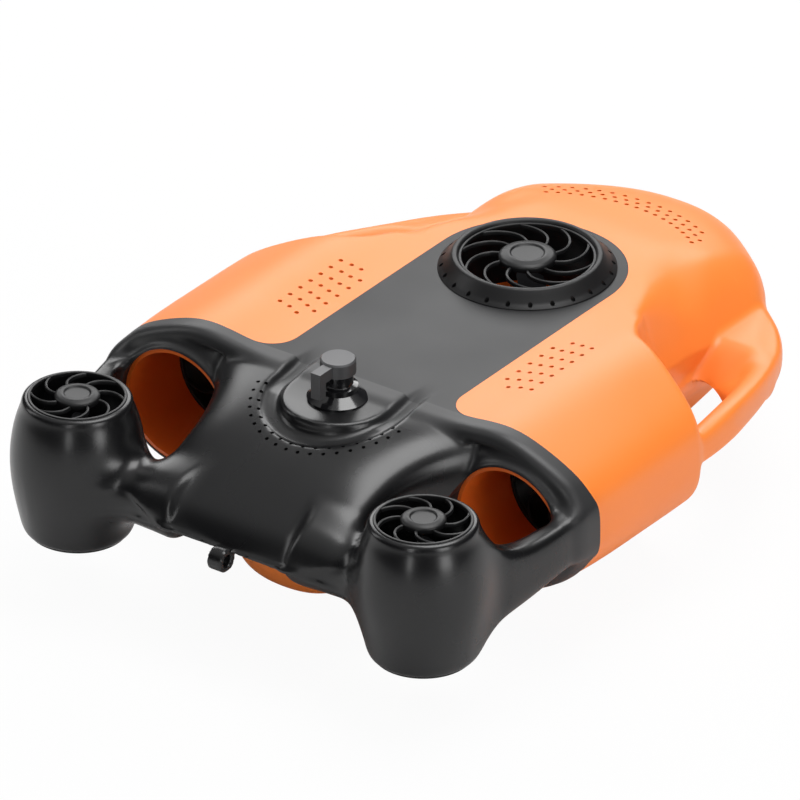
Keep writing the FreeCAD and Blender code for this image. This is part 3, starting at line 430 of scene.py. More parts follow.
def shoulder_step(x, y, z):
    """Recess that runs on forward above the handle's level, over a shelf on the nose shoulder."""
    shelf = SHELF_Z - 12.0 * ease(118.0 - y, 0, 26)
    return both(both(waist_wall(x, y, z), shelf - z, 3.0), 66.0 - y, 8.0)


def off_duct(x, z):
    """Distance from the nearer duct's axis."""
    return np.sqrt((np.abs(x) - DUCT_X) ** 2 + (z - DUCT_Z) ** 2)


def flow_scoop(x, y, z):
    """Hollow in the waist wall ahead of the duct."""
    radius = DUCT_R - 15.5 * np.clip(y / 78.0, 0, 1)
    cone = (off_duct(x, z) - radius) * 0.98
    return both(both(cone, pod_face(np.abs(x), y), 2.0), y - 78, 6.0)


HANDLE_PATH = np.array((
    (138, -14, 73.5), (140, 14, 74), (138.8, 40.5, 75), (135.3, 59.5, 74.5), (129.1, 81.5, 72.5),
    (119, 107.4, 69.5), (108.1, 127.5, 68.5), (93.1, 143.5, 69), (78, 153, 69)), float)
HANDLE_WIDE = (9.0, 10.5, 11.0, 11.0, 11.2, 11.5, 11.5, 11.0, 10.0)
HANDLE_TALL = (9.5, 10.5, 11.5, 11.0, 10.0, 9.0, 8.5, 8.5, 8.0)


def handle_centreline():
    t = np.arange(len(HANDLE_PATH))
    fine = np.linspace(0, len(HANDLE_PATH) - 1, 49)
    columns = [track(t, HANDLE_PATH[:, k])(fine) for k in range(3)]
    return np.stack(columns + [track(t, HANDLE_WIDE)(fine), track(t, HANDLE_TALL)(fine)], 1)


HANDLE_LINE = handle_centreline()


def grab_handle(x, y, z):
    """Swept handle with a slanted top face and a crisp outer ridge."""
    x, y, z = np.broadcast_arrays(x, y, z)
    ax = np.abs(x)
    value = np.full(ax.shape, 40.0)
    near = (ax > 60) & (ax < 160) & (y > -30) & (y < 170) & (z > 50) & (z < 95)
    px = ax[near]
    py = y[near]
    pz = z[near]
    best = np.full(px.shape, 1e9)
    found = np.zeros((5, px.size))
    for a, b in zip(HANDLE_LINE[:-1], HANDLE_LINE[1:]):
        along = (b - a)[:2]
        length = math.hypot(*along)
        along = along / length
        t = np.clip(((px - a[0]) * along[0] + (py - a[1]) * along[1]) / length, 0, 1)
        here = [a[k] + t * (b[k] - a[k]) for k in range(5)]
        dx = px - here[0]
        dy = py - here[1]
        gap = dx * dx + dy * dy
        closer = gap < best
        best = np.where(closer, gap, best)
        side = dx * along[1] - dy * along[0]
        past = dx * along[0] + dy * along[1]
        for k, item in enumerate((side, pz - here[2], here[3], here[4], past)):
            found[k] = np.where(closer, item, found[k])
    side, up, wide, tall, past = found
    body = round_section((side, wide), (up, tall), 3.2)
    top = (up - 0.16 * side - 0.78 * tall) * 0.987
    inner = (up - 1.5 * (side + 0.05 * wide) - 0.8 * tall) * 0.555
    lower = (-up - 0.15 * side - 0.86 * tall) * 0.98
    handle = both(both(both(body, top, 2.0), inner, 5.0), lower, 6.0)
    handle = both(handle, np.abs(past) - 3.0, 2.0)
    value[near] = handle
    return value


def orange_form(x, y, z):
    """Everything orange as one form: hull, recesses, scoops and handles."""
    hull = deck_form(x, y, z)
    crisp = 4 + 22 * ease(y, 66, 112) * ease(z, 56, 80)
    hull = both(hull, -waist_recess(x, y, z), crisp)
    hull = both(hull, -flow_scoop(x, y, z), 4.0)
    hull = both(hull, -shoulder_step(x, y, z), 12.0)
    handle = grab_handle(x, y, z)
    hull = join(hull, handle, 3.0 + 7.0 * ease(y, 50, 85) - 6.0 * ease(y, 98, 122))
    return both(hull, stern_trim(x, y, z), 0.6)


def deck_form(x, y, z):
    """Hull with the tongue's groove in its deck."""
    return both(full_hull(x, y, z), -tongue_groove(x, y, z), 1.6)


def stern_trim(x, y, z):
    """Rear end of the orange form."""
    return SHELL_TRIM_Y - y + 0 * z


def off_tongue(x, y):
    """Distance from the tongue's middle line, round its rear end."""
    return np.sqrt(x * x + np.minimum(y - TONGUE_Y, 0) ** 2)


def tongue_groove(x, y, z):
    """Hollow round the raised tongue that runs out forward along its sides."""
    floor = np.minimum(107.0, BRIDGE_TOP(y) - 2.4) + 6.5 * ease(y, -104, -58)
    return both(both(np.abs(off_tongue(x, y) - 35.3) - 4.4, floor - z, 3.0), y + 56.0, 3.0)


STERN_Y = (-70, -98, -122, -140, -152, -158.5)
STERN_HALF = track(STERN_Y, (66, 58, 48, 38, 27, 16))
STERN_TOP = track(STERN_Y, (66.5, 65, 63, 58, 51, 45))
STERN_BOTTOM = track(STERN_Y, (8.6, 9.6, 12, 15.5, 20, 25))


def stern_form(x, y, z):
    """Orange belly that runs on under the tail bridge."""
    top = STERN_TOP(y)
    bottom = STERN_BOTTOM(y)
    body = round_section((x, STERN_HALF(y)), (z - (top + bottom) / 2, (top - bottom) / 2), 2.25)
    return both(body, STERN_END_Y - y, 14.0)


# ---- the tail's form ----
BRIDGE_Y = (-84, -101, -120, -140, -160, -180, -192, -200)
BRIDGE_HALF = track(BRIDGE_Y, (92, 80, 70, 64, 62, 60, 55, 47))
BRIDGE_TOP = track(BRIDGE_Y, (112.4, 111, 108, 103, 95.5, 85, 77, 69.5))
BRIDGE_BOTTOM = track(BRIDGE_Y, (56, 56, 57, 58, 58.5, 59, 60, 61.5))


def bridge_form(x, y, z):
    top = BRIDGE_TOP(y)
    bottom = BRIDGE_BOTTOM(y)
    middle = bottom + (top - bottom) * 0.45
    rise = z - middle
    above = rise > 0
    height = np.where(above, top - middle, middle - bottom)
    power = np.where(above, 4.2, 2.8)
    body = round_section((x, BRIDGE_HALF(y)), (rise, height), power)
    return both(body, -201.5 - y, 13.0)


def hood_form(x, y, z):
    """Ring behind each pod with its lip and the hollow round the duct's mouth."""
    outline = full_hull(x, np.maximum(y, RIM_Y), z)
    ring = both(outline, RIM_Y - y, 7.0)
    mouth = off_duct(x, z)
    floor = -98.2 + 13.0 * ease(mouth, 33.5, 50.0)
    hollow = both(outline + 9.0, y - floor, 6.0)
    flare = 0.35 * np.clip(y + 99.0, 0, None)
    sleeve = both(mouth - 34.3 - flare, np.abs(y + 92.0) - 7.0, 1.0)
    return join(both(ring, -hollow, 3.0), sleeve, 4.0)


BARREL_Z = (31, 33, 39, 52, 70.5, 88, 100, 106, 110)
BARREL_RADIUS = track(BARREL_Z, (26.8, 28.2, 30.4, 33.2, 35.4, 34.3, 31.4, 29.5, 28.9))


def barrel_form(x, y, z):
    around = np.sqrt((np.abs(x) - BARREL_X) ** 2 + (y - BARREL_Y) ** 2)
    side = (around - BARREL_RADIUS(z)) * 0.98
    return both(side, np.abs(z - 70.5) - 39.5, 3.0)


NECK_X = (40, 50, 66, 84, 96, 110)
NECK_Z = track(NECK_X, (68, 67.5, 66.5, 65, 63, 62))
NECK_WIDE = track(NECK_X, (20, 19, 18, 18.5, 21, 24))
NECK_TALL = track(NECK_X, (18, 17.5, 16.5, 17, 21, 26))


def neck_form(x, y, z):
    ax = np.abs(x)
    body = round_section((y - BARREL_Y - 1.0, NECK_WIDE(ax)), (z - NECK_Z(ax), NECK_TALL(ax)),
                         2.1)
    return both(body, np.abs(ax - 75) - 35, 4.0)


ARM_Y = (-178, -160, -150, -140, -120, -98, -84)
ARM_X = track(ARM_Y, (121, 128.5, 133, 137, 141.5, 144.8, 145))
ARM_WIDE = track(ARM_Y, (15, 12.5, 11, 9, 7.6, 6.4, 6))
ARM_MIDDLE = track(ARM_Y, (68, 68, 67.4, 67.2, 69.5, 73, 73.5))
ARM_TALL = track(ARM_Y, (33, 28, 21.5, 17.6, 14.6, 13.2, 13))


def arm_form(x, y, z):
    """Saddle-shaped outer arm, with a flat face and crisp edges."""
    across = (np.abs(x) - ARM_X(y), ARM_WIDE(y))
    body = round_section(across, (z - ARM_MIDDLE(y), ARM_TALL(y)), 3.6)
    return both(body, np.abs(y + 130) - 47, 3.0)


def eye_form(x, y, z):
    around = np.sqrt((y + 204.86) ** 2 + (z - 61.5) ** 2)
    return both(np.abs(around - 4.9) - 1.6, np.abs(x) - 4.4, 0.8)


def tail_form(x, y, z):
    """Black tail housing as one moulding."""
    bridge = bridge_form(x, y, z)
    platform = both(both(off_tongue(x, y) - TONGUE_R, z - 110.5, 2.6), 90.0 - z, 1.0)
    bridge = join(bridge, platform, 2.0)
    tail = join(hood_form(x, y, z), bridge, 4.0)
    stern = stern_form(x, y, z)
    tail = both(tail, -stern + 0.3, 0.8)
    tail = both(tail, -tongue_groove(x, y, z), 3.5)
    pods = join(barrel_form(x, y, z), neck_form(x, y, z), 14.0)
    pods = join(pods, arm_form(x, y, z), 10.0)
    pods = both(pods, -both(off_duct(x, z) - 35.0, -112.0 - y, 2.0), 2.0)
    tail = join(tail, pods, 11.0)
    return join(tail, eye_form(x, y, z), 1.5)


# ---- mesh tools ----
def make_object(name, points, faces):
    """Object at the origin from points in millimetres."""
    mesh = bpy.data.meshes.new(name)
    points = np.asarray(points, float) * MM
    if isinstance(faces, np.ndarray):
        mesh.vertices.add(len(points))
        mesh.vertices.foreach_set("co", points.ravel())
        mesh.loops.add(faces.size)
        mesh.loops.foreach_set("vertex_index", faces.astype(np.int32).ravel())
        mesh.polygons.add(len(faces))
        starts = np.arange(len(faces), dtype=np.int32) * faces.shape[1]
        mesh.polygons.foreach_set("loop_start", starts)
        mesh.update(calc_edges=True)
        mesh.validate()
    else:
        mesh.from_pydata([tuple(p) for p in points], [], faces)
    return link(bpy.data.objects.new(name, mesh))


def plain(obj):
    """Apply the live modifiers: the object gets its finished mesh."""
    graph = bpy.context.evaluated_depsgraph_get()
    mesh = bpy.data.meshes.new_from_object(obj.evaluated_get(graph))
    obj.modifiers.clear()
    obj.data = mesh
    return obj


def remove(*objects):
    for obj in objects:
        bpy.data.objects.remove(obj)


def carve(obj, tools, operation="DIFFERENCE"):
    """Cut with, join with or keep inside each tool in turn."""
    for tool in tools:
        step = obj.modifiers.new("carve", "BOOLEAN")
        step.operation = operation
        step.solver = "MANIFOLD"
        step.object = tool
    return plain(obj)


def copy_of(obj, name):
    twin = obj.copy()
    twin.data = obj.data.copy()
    twin.name = name
    return link(twin)


def smooth(obj, angle=32):
    obj.data.polygons.foreach_set("use_smooth", [True] * len(obj.data.polygons))
    obj.data.set_sharp_from_angle(angle=math.radians(angle))
    return obj


def prism(name, outline, low, high):
    """Upright block over an outline of (x, y) corners, given anticlockwise."""
    n = len(outline)
    points = [(x, y, low) for x, y in outline] + [(x, y, high) for x, y in outline]
    faces = [tuple(reversed(range(n))), tuple(range(n, 2 * n))]
    faces += [(i, (i + 1) % n, n + (i + 1) % n, n + i) for i in range(n)]
    return make_object(name, points, faces)


def on_side(outline, side):
    """A starboard outline, or its mirror image for the port side."""
    return outline if side > 0 else [(-x, y) for x, y in reversed(outline)]


def block(name, low, high):
    outline = [(low[0], low[1]), (high[0], low[1]), (high[0], high[1]), (low[0], high[1])]
    return prism(name, outline, low[2], high[2])


def turn_points(points, centre, axis):
    """Points built about +Z, brought to their centre and axis."""
    spin = Vector((0, 0, 1)).rotation_difference(Vector(axis)).to_matrix()
    return np.asarray(points, float) @ np.array(spin).T + np.array(centre, float)


def turned(name, profile, centre=(0, 0, 0), axis=(0, 0, 1), count=64):
    """Turn a closed profile of (radius, height) corners, listed anticlockwise, about its axis."""
    points = []
    faces = []
    rings = []
    for r, h in profile:
        if r < 1e-6:
            rings.append([len(points)] * count)
            points.append((0, 0, h))
            continue
        rings.append(list(range(len(points), len(points) + count)))
        for i in range(count):
            a = 2 * math.pi * i / count
            points.append((r * math.cos(a), r * math.sin(a), h))
    for k, ring in enumerate(rings):
        nxt = rings[(k + 1) % len(rings)]
        for i in range(count):
            j = (i + 1) % count
            face = [ring[i], ring[j], nxt[j], nxt[i]]
            face = [v for n, v in enumerate(face) if v not in face[:n]]
            if len(face) > 2:
                faces.append(tuple(face))
    return make_object(name, turn_points(points, centre, axis), faces)


def softened(profile, radius, steps=3):
    """Profile with each corner rounded."""
    result = []
    n = len(profile)
    for i, corner in enumerate(profile):
        here = np.array(corner, float)
        back = np.array(profile[i - 1], float) - here
        on = np.array(profile[(i + 1) % n], float) - here
        lb = np.linalg.norm(back)
        lo = np.linalg.norm(on)
        if here[0] < 1e-6 or lb < 1e-6 or lo < 1e-6:
            result.append(tuple(here))
            continue
        reach = min(radius, lb * 0.45, lo * 0.45)
        a = here + back / lb * reach
        b = here + on / lo * reach
        for s in range(steps + 1):
            t = s / steps
            result.append(tuple((1 - t) ** 2 * a + 2 * t * (1 - t) * here + t * t * b))
    return result


def merged(name, objects):
    """One object out of several."""
    bm = bmesh.new()
    for obj in objects:
        bm.from_mesh(obj.data)
    mesh = bpy.data.meshes.new(name)
    bm.to_mesh(mesh)
    bm.free()
    remove(*objects)
    return link(bpy.data.objects.new(name, mesh))


# ---- repeated pieces ----
def end_tree(tree, given, place, result):
    """Make the copies real and give them their finish."""
    real = node(tree, "GeometryNodeRealizeInstances")
    finish = node(tree, "GeometryNodeSetMaterial")
    wire(tree, (place, 0, real, 0), (real, 0, finish, "Geometry"),
         (given, "Finish", finish, "Material"), (finish, 0, result, 0))
    return tree


def ring_tree():
    """Copies of a shape turned evenly about the upright axis."""
    tree, given, result = node_group(
        "ring_of_copies", "GeometryNodeTree",
        {"Shape": "Geometry", "Count": "Int", "Start Angle": "Float", "Finish": "Material"},
        {"Geometry": "Geometry"})
    points = node(tree, "GeometryNodePoints")
    number = node(tree, "GeometryNodeInputIndex")
    share = node(tree, "ShaderNodeMath", operation="DIVIDE")
    angle = node(tree, "ShaderNodeMath", {1: 2 * math.pi}, operation="MULTIPLY_ADD")
    spin = node(tree, "ShaderNodeCombineXYZ")
    place = node(tree, "GeometryNodeInstanceOnPoints")
    wire(tree, (given, "Count", points, "Count"), (number, 0, share, 0), (given, "Count", share, 1),
         (share, 0, angle, 0), (given, "Start Angle", angle, 2), (angle, 0, spin, "Z"),
         (points, 0, place, "Points"), (given, "Shape", place, "Instance"),
         (spin, 0, place, "Rotation"))
    return end_tree(tree, given, place, result)


def spread_tree():
    """Copies of a shape on given places."""
    tree, given, result = node_group(
        "copies_on_places", "GeometryNodeTree",
        {"Places": "Geometry", "Shape": "Object", "Size": "Float", "Finish": "Material"},
        {"Geometry": "Geometry"})
    shape = node(tree, "GeometryNodeObjectInfo")
    place = node(tree, "GeometryNodeInstanceOnPoints")
    wire(tree, (given, "Shape", shape, "Object"), (given, "Places", place, "Points"),
         (shape, "Geometry", place, "Instance"), (given, "Size", place, "Scale"))
    return end_tree(tree, given, place, result)


RING = ring_tree()
SPREAD = spread_tree()


def run_tree(obj, tree, **values):
    """Run a geometry tree on an object and keep its plain mesh."""
    step = obj.modifiers.new("copies", "NODES")
    step.node_group = tree
    for item in tree.interface.items_tree:
        if item.in_out == "INPUT" and item.name in values:
            step[item.identifier] = values[item.name]
    obj.update_tag()
    return plain(obj)


# ---- finishes ----
def grain_group():
    """Fine moulded grain and slow unevenness of a plastic surface."""
    tree, given, result = node_group("moulded_grain", "ShaderNodeTree", {"Grain Scale": "Float"},
                                     {"Height": "Float", "Patches": "Float"})
    place = node(tree, "ShaderNodeTexCoord")
    fine = node(tree, "ShaderNodeTexNoise", {"Detail": 3.0})
    slow = node(tree, "ShaderNodeTexNoise", {"Scale": 14.0, "Detail": 4.0})
    wire(tree, (place, "Object", fine, "Vector"), (place, "Object", slow, "Vector"),
         (given, "Grain Scale", fine, "Scale"), (fine, "Fac", result, "Height"),
         (slow, "Fac", result, "Patches"))
    return tree


def scuff_group():
    """Sparse hairline scuffs and dust specks."""
    tree, given, result = node_group("light_scuffs", "ShaderNodeTree", {"Amount": "Float"},
                                     {"Mask": "Float"})
    place = node(tree, "ShaderNodeTexCoord")
    turn = node(tree, "ShaderNodeMapping", {"Rotation": (0.4, 0.7, 0.9), "Scale": (1.0, 14.0, 3.0)})
    lines = node(tree, "ShaderNodeTexNoise", {"Scale": 42.0, "Detail": 2.0})
    where = node(tree, "ShaderNodeTexNoise", {"Scale": 9.0})
    cut = node(tree, "ShaderNodeMapRange", {"From Min": 0.66, "From Max": 0.72})
    spot = node(tree, "ShaderNodeMapRange", {"From Min": 0.52, "From Max": 0.66})
    both_masks = node(tree, "ShaderNodeMath", operation="MULTIPLY")
    amount = node(tree, "ShaderNodeMath", operation="MULTIPLY")
    wire(tree, (place, "Object", turn, "Vector"), (turn, 0, lines, "Vector"),
         (place, "Object", where, "Vector"), (lines, "Fac", cut, "Value"),
         (where, "Fac", spot, "Value"), (cut, 0, both_masks, 0), (spot, 0, both_masks, 1),
         (both_masks, 0, amount, 0), (given, "Amount", amount, 1), (amount, 0, result, "Mask"))
    return tree


GRAIN = grain_group()
SCUFFS = scuff_group()


def finish_of(name, colour, second, roughness, spread=0.08, grain=900.0, bump=0.06, scuffs=0.25,
              metallic=0.0, specular=0.5, coat=0.0):
    """Procedural finish: two-tone colour patches, grain, scuffs and uneven roughness."""
    material = bpy.data.materials.new(name)
    material.use_nodes = True
    tree = material.node_tree
    shader = tree.nodes["Principled BSDF"]
    set_inputs(shader, {"Metallic": metallic, "Specular IOR Level": specular,
                        "Coat Weight": coat, "Coat Roughness": 0.12})
    grains = node(tree, "ShaderNodeGroup", {"Grain Scale": grain}, node_tree=GRAIN)
    wear = node(tree, "ShaderNodeGroup", {"Amount": scuffs}, node_tree=SCUFFS)
    tint = node(tree, "ShaderNodeMix", {"A": (*colour, 1), "B": (*second, 1)}, data_type="RGBA")
    worn = [min(1.0, c * 1.25 + 0.02) for c in colour]
    pale = node(tree, "ShaderNodeMix", {"B": (*worn, 1)}, data_type="RGBA")
    rough = node(tree, "ShaderNodeMapRange",
                 {"From Min": 0.3, "From Max": 0.7, "To Min": roughness - spread,
                  "To Max": roughness + spread})
    rougher = node(tree, "ShaderNodeMath", {1: 0.25}, operation="MULTIPLY_ADD")
    relief = node(tree, "ShaderNodeBump", {"Strength": bump, "Distance": 0.0002})
    wire(tree, (grains, "Patches", tint, "Factor"), (wear, "Mask", pale, "Factor"),
         (tint, "Result", pale, "A"), (pale, "Result", shader, "Base Color"),
         (grains, "Patches", rough, "Value"), (wear, "Mask", rougher, 0), (rough, 0, rougher, 2),
         (rougher, 0, shader, "Roughness"), (grains, "Height", relief, "Height"),
         (relief, 0, shader, "Normal"))
    return material


ORANGE = finish_of("satin_orange_shell", (0.95, 0.235, 0.035), (1.0, 0.26, 0.045), 0.42, 0.05,
                   bump=0.05)
BLACK = finish_of("satin_black_housing", (0.0045, 0.0045, 0.005), (0.007, 0.007, 0.0075), 0.27,
                  0.04, bump=0.05, scuffs=0.05)
# deck cover: its base colour is lighter than the housing's black, a painted reflection of the
# overhead softbox on the flat deck; its higher roughness is real
DECK_WITH_PAINTED_LIGHT = finish_of("satin_black_deck", (0.020, 0.020, 0.021), (0.025, 0.025, 0.026), 0.46, 0.05,
                 bump=0.07, scuffs=0.1, specular=0.3)
GUARD = finish_of("guard_black", (0.006, 0.006, 0.0065), (0.009, 0.009, 0.0095), 0.42, 0.05,
                  bump=0.05, scuffs=0.05, specular=0.35)
MOTOR = finish_of("motor_black", (0.010, 0.010, 0.011), (0.018, 0.018, 0.019), 0.45, 0.08,
                  grain=1400, bump=0.15)
PROPELLER = finish_of("propeller_black", (0.008, 0.008, 0.009), (0.014, 0.014, 0.015), 0.30,
                      0.05, bump=0.05)
GLOSS = finish_of("gloss_black_bezel", (0.005, 0.005, 0.006), (0.008, 0.008, 0.009), 0.12, 0.03,
                  bump=0.02, coat=0.5)
CAP = finish_of("anodised_cap", (0.07, 0.07, 0.073), (0.10, 0.10, 0.103), 0.40, 0.06,
                grain=1600, bump=0.05, metallic=0.35)
CASE = finish_of("case_grey", (0.10, 0.105, 0.11), (0.13, 0.135, 0.14), 0.5, 0.06, bump=0.15)
BATTERY = finish_of("battery_wrap", (0.02, 0.05, 0.16), (0.03, 0.065, 0.20), 0.3, 0.06,
                    bump=0.08)
BOARD = finish_of("board_green", (0.01, 0.07, 0.03), (0.015, 0.10, 0.04), 0.4, 0.08, bump=0.1)
RUBBER = finish_of("skid_rubber", (0.015, 0.015, 0.016), (0.028, 0.028, 0.029), 0.75, 0.08,
                   grain=500, bump=0.35)
LAMP = finish_of("lamp_metal", (0.55, 0.55, 0.57), (0.62, 0.62, 0.64), 0.28, 0.06, grain=1500,
                 bump=0.05, metallic=1.0)


def ramp_along(tree, axis, start, end):
    """Share that grows from 0 to 1 between two places along an axis, in millimetres."""
    place = node(tree, "ShaderNodeTexCoord")
    split = node(tree, "ShaderNodeSeparateXYZ")
    share = node(tree, "ShaderNodeMapRange", {"From Min": start * MM, "From Max": end * MM},
                 interpolation_type="SMOOTHSTEP")
    wire(tree, (place, "Object", split, 0),
         (split, axis, share, "Value"))
    return share.outputs[0]


def blend_input(material, key, mix, axis, start, end):
    """Blend what feeds a shader input into the mix's second value along an axis."""
    tree = material.node_tree
    target = tree.nodes["Principled BSDF"].inputs[key]
    own = target.links[0].from_socket
    tree.links.new(ramp_along(tree, axis, start, end), mix.inputs["Factor"])
    tree.links.new(own, mix.inputs["A"])
    tree.links.new(mix.outputs["Result"], target)
    return material


def toned(material, axis, start, end, colour):
    """Blend a finish's colour into another one along an axis."""
    mix = node(material.node_tree, "ShaderNodeMix", {"B": (*colour, 1)}, data_type="RGBA")
    return blend_input(material, "Base Color", mix, axis, start, end)


def satin_towards(material, start, end, roughness):
    """Raise a finish's roughness along the vehicle."""
    mix = node(material.node_tree, "ShaderNodeMix", {"B": roughness})
    return blend_input(material, "Roughness", mix, "Y", start, end)


def tunnel_with_painted_shade(name, axis, limit):
    """Tunnel finish that is orange up to a plane across its axis and black past it: the black is
    painted shade deep inside the tunnel.
    """
    tunnel = finish_of(name, (0.80, 0.135, 0.012), (0.86, 0.155, 0.018), 0.36, 0.05, bump=0.04)
    return toned(tunnel, axis, limit - 0.2, limit + 0.2, (0.006, 0.006, 0.0065))


# towards the deck the tail housing is painted up to the deck's lighter tone, a painted reflection
# of the overhead light on its upward faces, and takes on the deck's roughness
satin_towards(toned(BLACK, "Y", -118, -86, (0.022, 0.022, 0.023)), -112, -84, 0.46)
# the black parts of both tunnel finishes are painted shade, not a second colour of the liners
MAIN_TUNNEL = tunnel_with_painted_shade("main_tunnel", "Z", 84.0)
DUCT_TUNNEL = tunnel_with_painted_shade("duct_tunnel", "Y", -54.0)


def window_finish():
    """Clear moulded window with a faint haze."""
    material = finish_of("clear_window", (0.95, 0.97, 0.98), (0.98, 0.99, 1.0), 0.05, 0.03,
                         bump=0.01, scuffs=0.1)
    shader = material.node_tree.nodes["Principled BSDF"]
    set_inputs(shader, {"Transmission Weight": 1.0, "IOR": 1.49})
    return material


WINDOW = window_finish()


def dress(obj, material):
    obj.data.materials.clear()
    obj.data.materials.append(material)
    return obj


def finished(obj, material, body="hull", angle=32):
    """Give a new piece its finish, smooth shading and its body."""
    dress(obj, material)
    smooth(obj, angle)
    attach(obj, body)
    return obj


# ---- orange shells, deck cover and tail housing ----
def arc(x, y, radius, degrees):
    """Places on a circle at these angles."""
    angles = [math.radians(d) for d in degrees]
    return [(x + radius * math.cos(a), y + radius * math.sin(a)) for a in angles]


def stadium_outline(grow):
    """Deck strip seen from above, with its concave rear corners."""
    half = PANEL_HALF + grow
    radius = PANEL_CORNER_R - grow
    rear = SHELL_REAR_Y + grow
    corner = half + radius
    return [(-corner, rear - 30), (corner, rear - 30), (corner, rear),
            *arc(corner, rear + radius, radius, [-90 - 90 * i / 12 for i in range(1, 13)]),
            *arc(0, MAIN_Y, half, [180 * i / 60 for i in range(61)]),
            *arc(-corner, rear + radius, radius, [-90 * i / 12 for i in range(12)]),
            (-corner, rear)]


# distance from the middle, first and last place along the hull, and count of each column
DRAIN_COLUMNS = ((62.2, -37.5, 3.3, 5), (68.2, -44.9, 12.7, 7), (74.4, -42.6, 12.7, 7),
                 (81.0, -42.1, 12.1, 7))
NOSE_ROWS = 3
NOSE_ROW_R = 75.5
NOSE_ROW_STEP = 5.6
NOSE_ROW_HOLES = 17
NOSE_ROW_SPREAD = 77.4
NOSE_ROW_Y = 91.4


def drain_places():
    """Places of the drain holes in the orange shell."""
    places = []
    for side in (-1, 1):
        for x, first, last, count in DRAIN_COLUMNS:
            places += [(side * x, y, 0) for y in np.linspace(first, last, count)]
    for row in range(NOSE_ROWS):
        radius = NOSE_ROW_R + NOSE_ROW_STEP * row
        for k in range(NOSE_ROW_HOLES - row):
            along = NOSE_ROW_SPREAD * (k + 0.5 * (row % 2)) / (NOSE_ROW_HOLES - 1)
            a = math.radians(-NOSE_ROW_SPREAD / 2 + along)
            places.append((radius * math.sin(a), NOSE_ROW_Y + radius * math.cos(a), 0))
    return places


def hole_cutter(name, places, radius, low, high, finish):
    """Upright round cutters on the given places, as one object."""
    turn = turned(name + "_shape", [(0, low), (radius, low), (radius, high), (0, high)], count=14)
    spots = make_object(name, places, [])
    run_tree(spots, SPREAD, Shape=turn, Size=1.0, Finish=finish)
    remove(turn)
    return spots


def lamp_seat(side, grow):
    """Cutter for a lamp's seat, turned outwards from straight ahead."""
    angle = math.radians(38.0)
    axis = (side * math.sin(angle), math.cos(angle), 0)
    seat = np.array((side * 62.0, NOSE_Y - 38.0, 66.0)) - np.array(axis) * 34.0
    profile = [(0, 0), (12.0 + grow, 0), (12.0 + grow, 64.0), (0, 64.0)]
    return turned("lamp_seat", profile, seat, axis)


def build_orange():
    """The orange body, still solid, and the hollow to be cut out of it."""
    cell = 1.7
    points, quads = skin(orange_form, (-179, -99, 3), (179, 217, 124), cell)
    body = make_object("orange_body", points, quads)
    points, quads = skin(lambda x, y, z: orange_form(x, y, z) + WALL,
                         (-176, -96, 4), (176, 214, 122), 3.0, 1)
    return body, make_object("hollow", points, quads)


def rod_between(name, radius, start, end, count=96):
    axis = Vector(end) - Vector(start)
    return turned(name, [(0, 0), (radius, 0), (radius, axis.length), (0, axis.length)], start,
                  axis.normalized(), count)


def pod_bound(side):
    """Duct bore that ends at the pod's slanted front face."""
    x = side * DUCT_X
    bore = rod_between("duct_hole", DUCT_HOLE_R, (x, -150, DUCT_Z), (x, 60.0, DUCT_Z))
    face = POD_FRONT_Y + 0.5
    outline = [(20, face + 70 * POD_SLOPE), (200, face - 110 * POD_SLOPE), (200, 200), (20, 200)]
    tool = prism("pod_end", on_side(outline, side), 0, 130)
    carve(bore, [tool])
    remove(tool)
    return bore


def panel_bed(depth):
    """Closed block whose top follows the deck at this depth."""
    def form(x, y, z):
        sides = np.maximum(np.maximum(np.abs(x) - 74, np.abs(y - 15) - 122), 92 - z)
        return both(deck_form(x, y, z) + depth, sides, 0.5)
    points, quads = skin(form, (-78, -112, 88), (78, 142, 118), 2.4, 1)
    return make_object("panel_bed", points, quads)


BEZEL_HOLE_R = 21.15
SEAM_GROOVE_X = 90.6
HANDLE_ZONE = [(96, 46), (160, 8), (200, -10), (200, 140), (118, 112), (100, 97)]


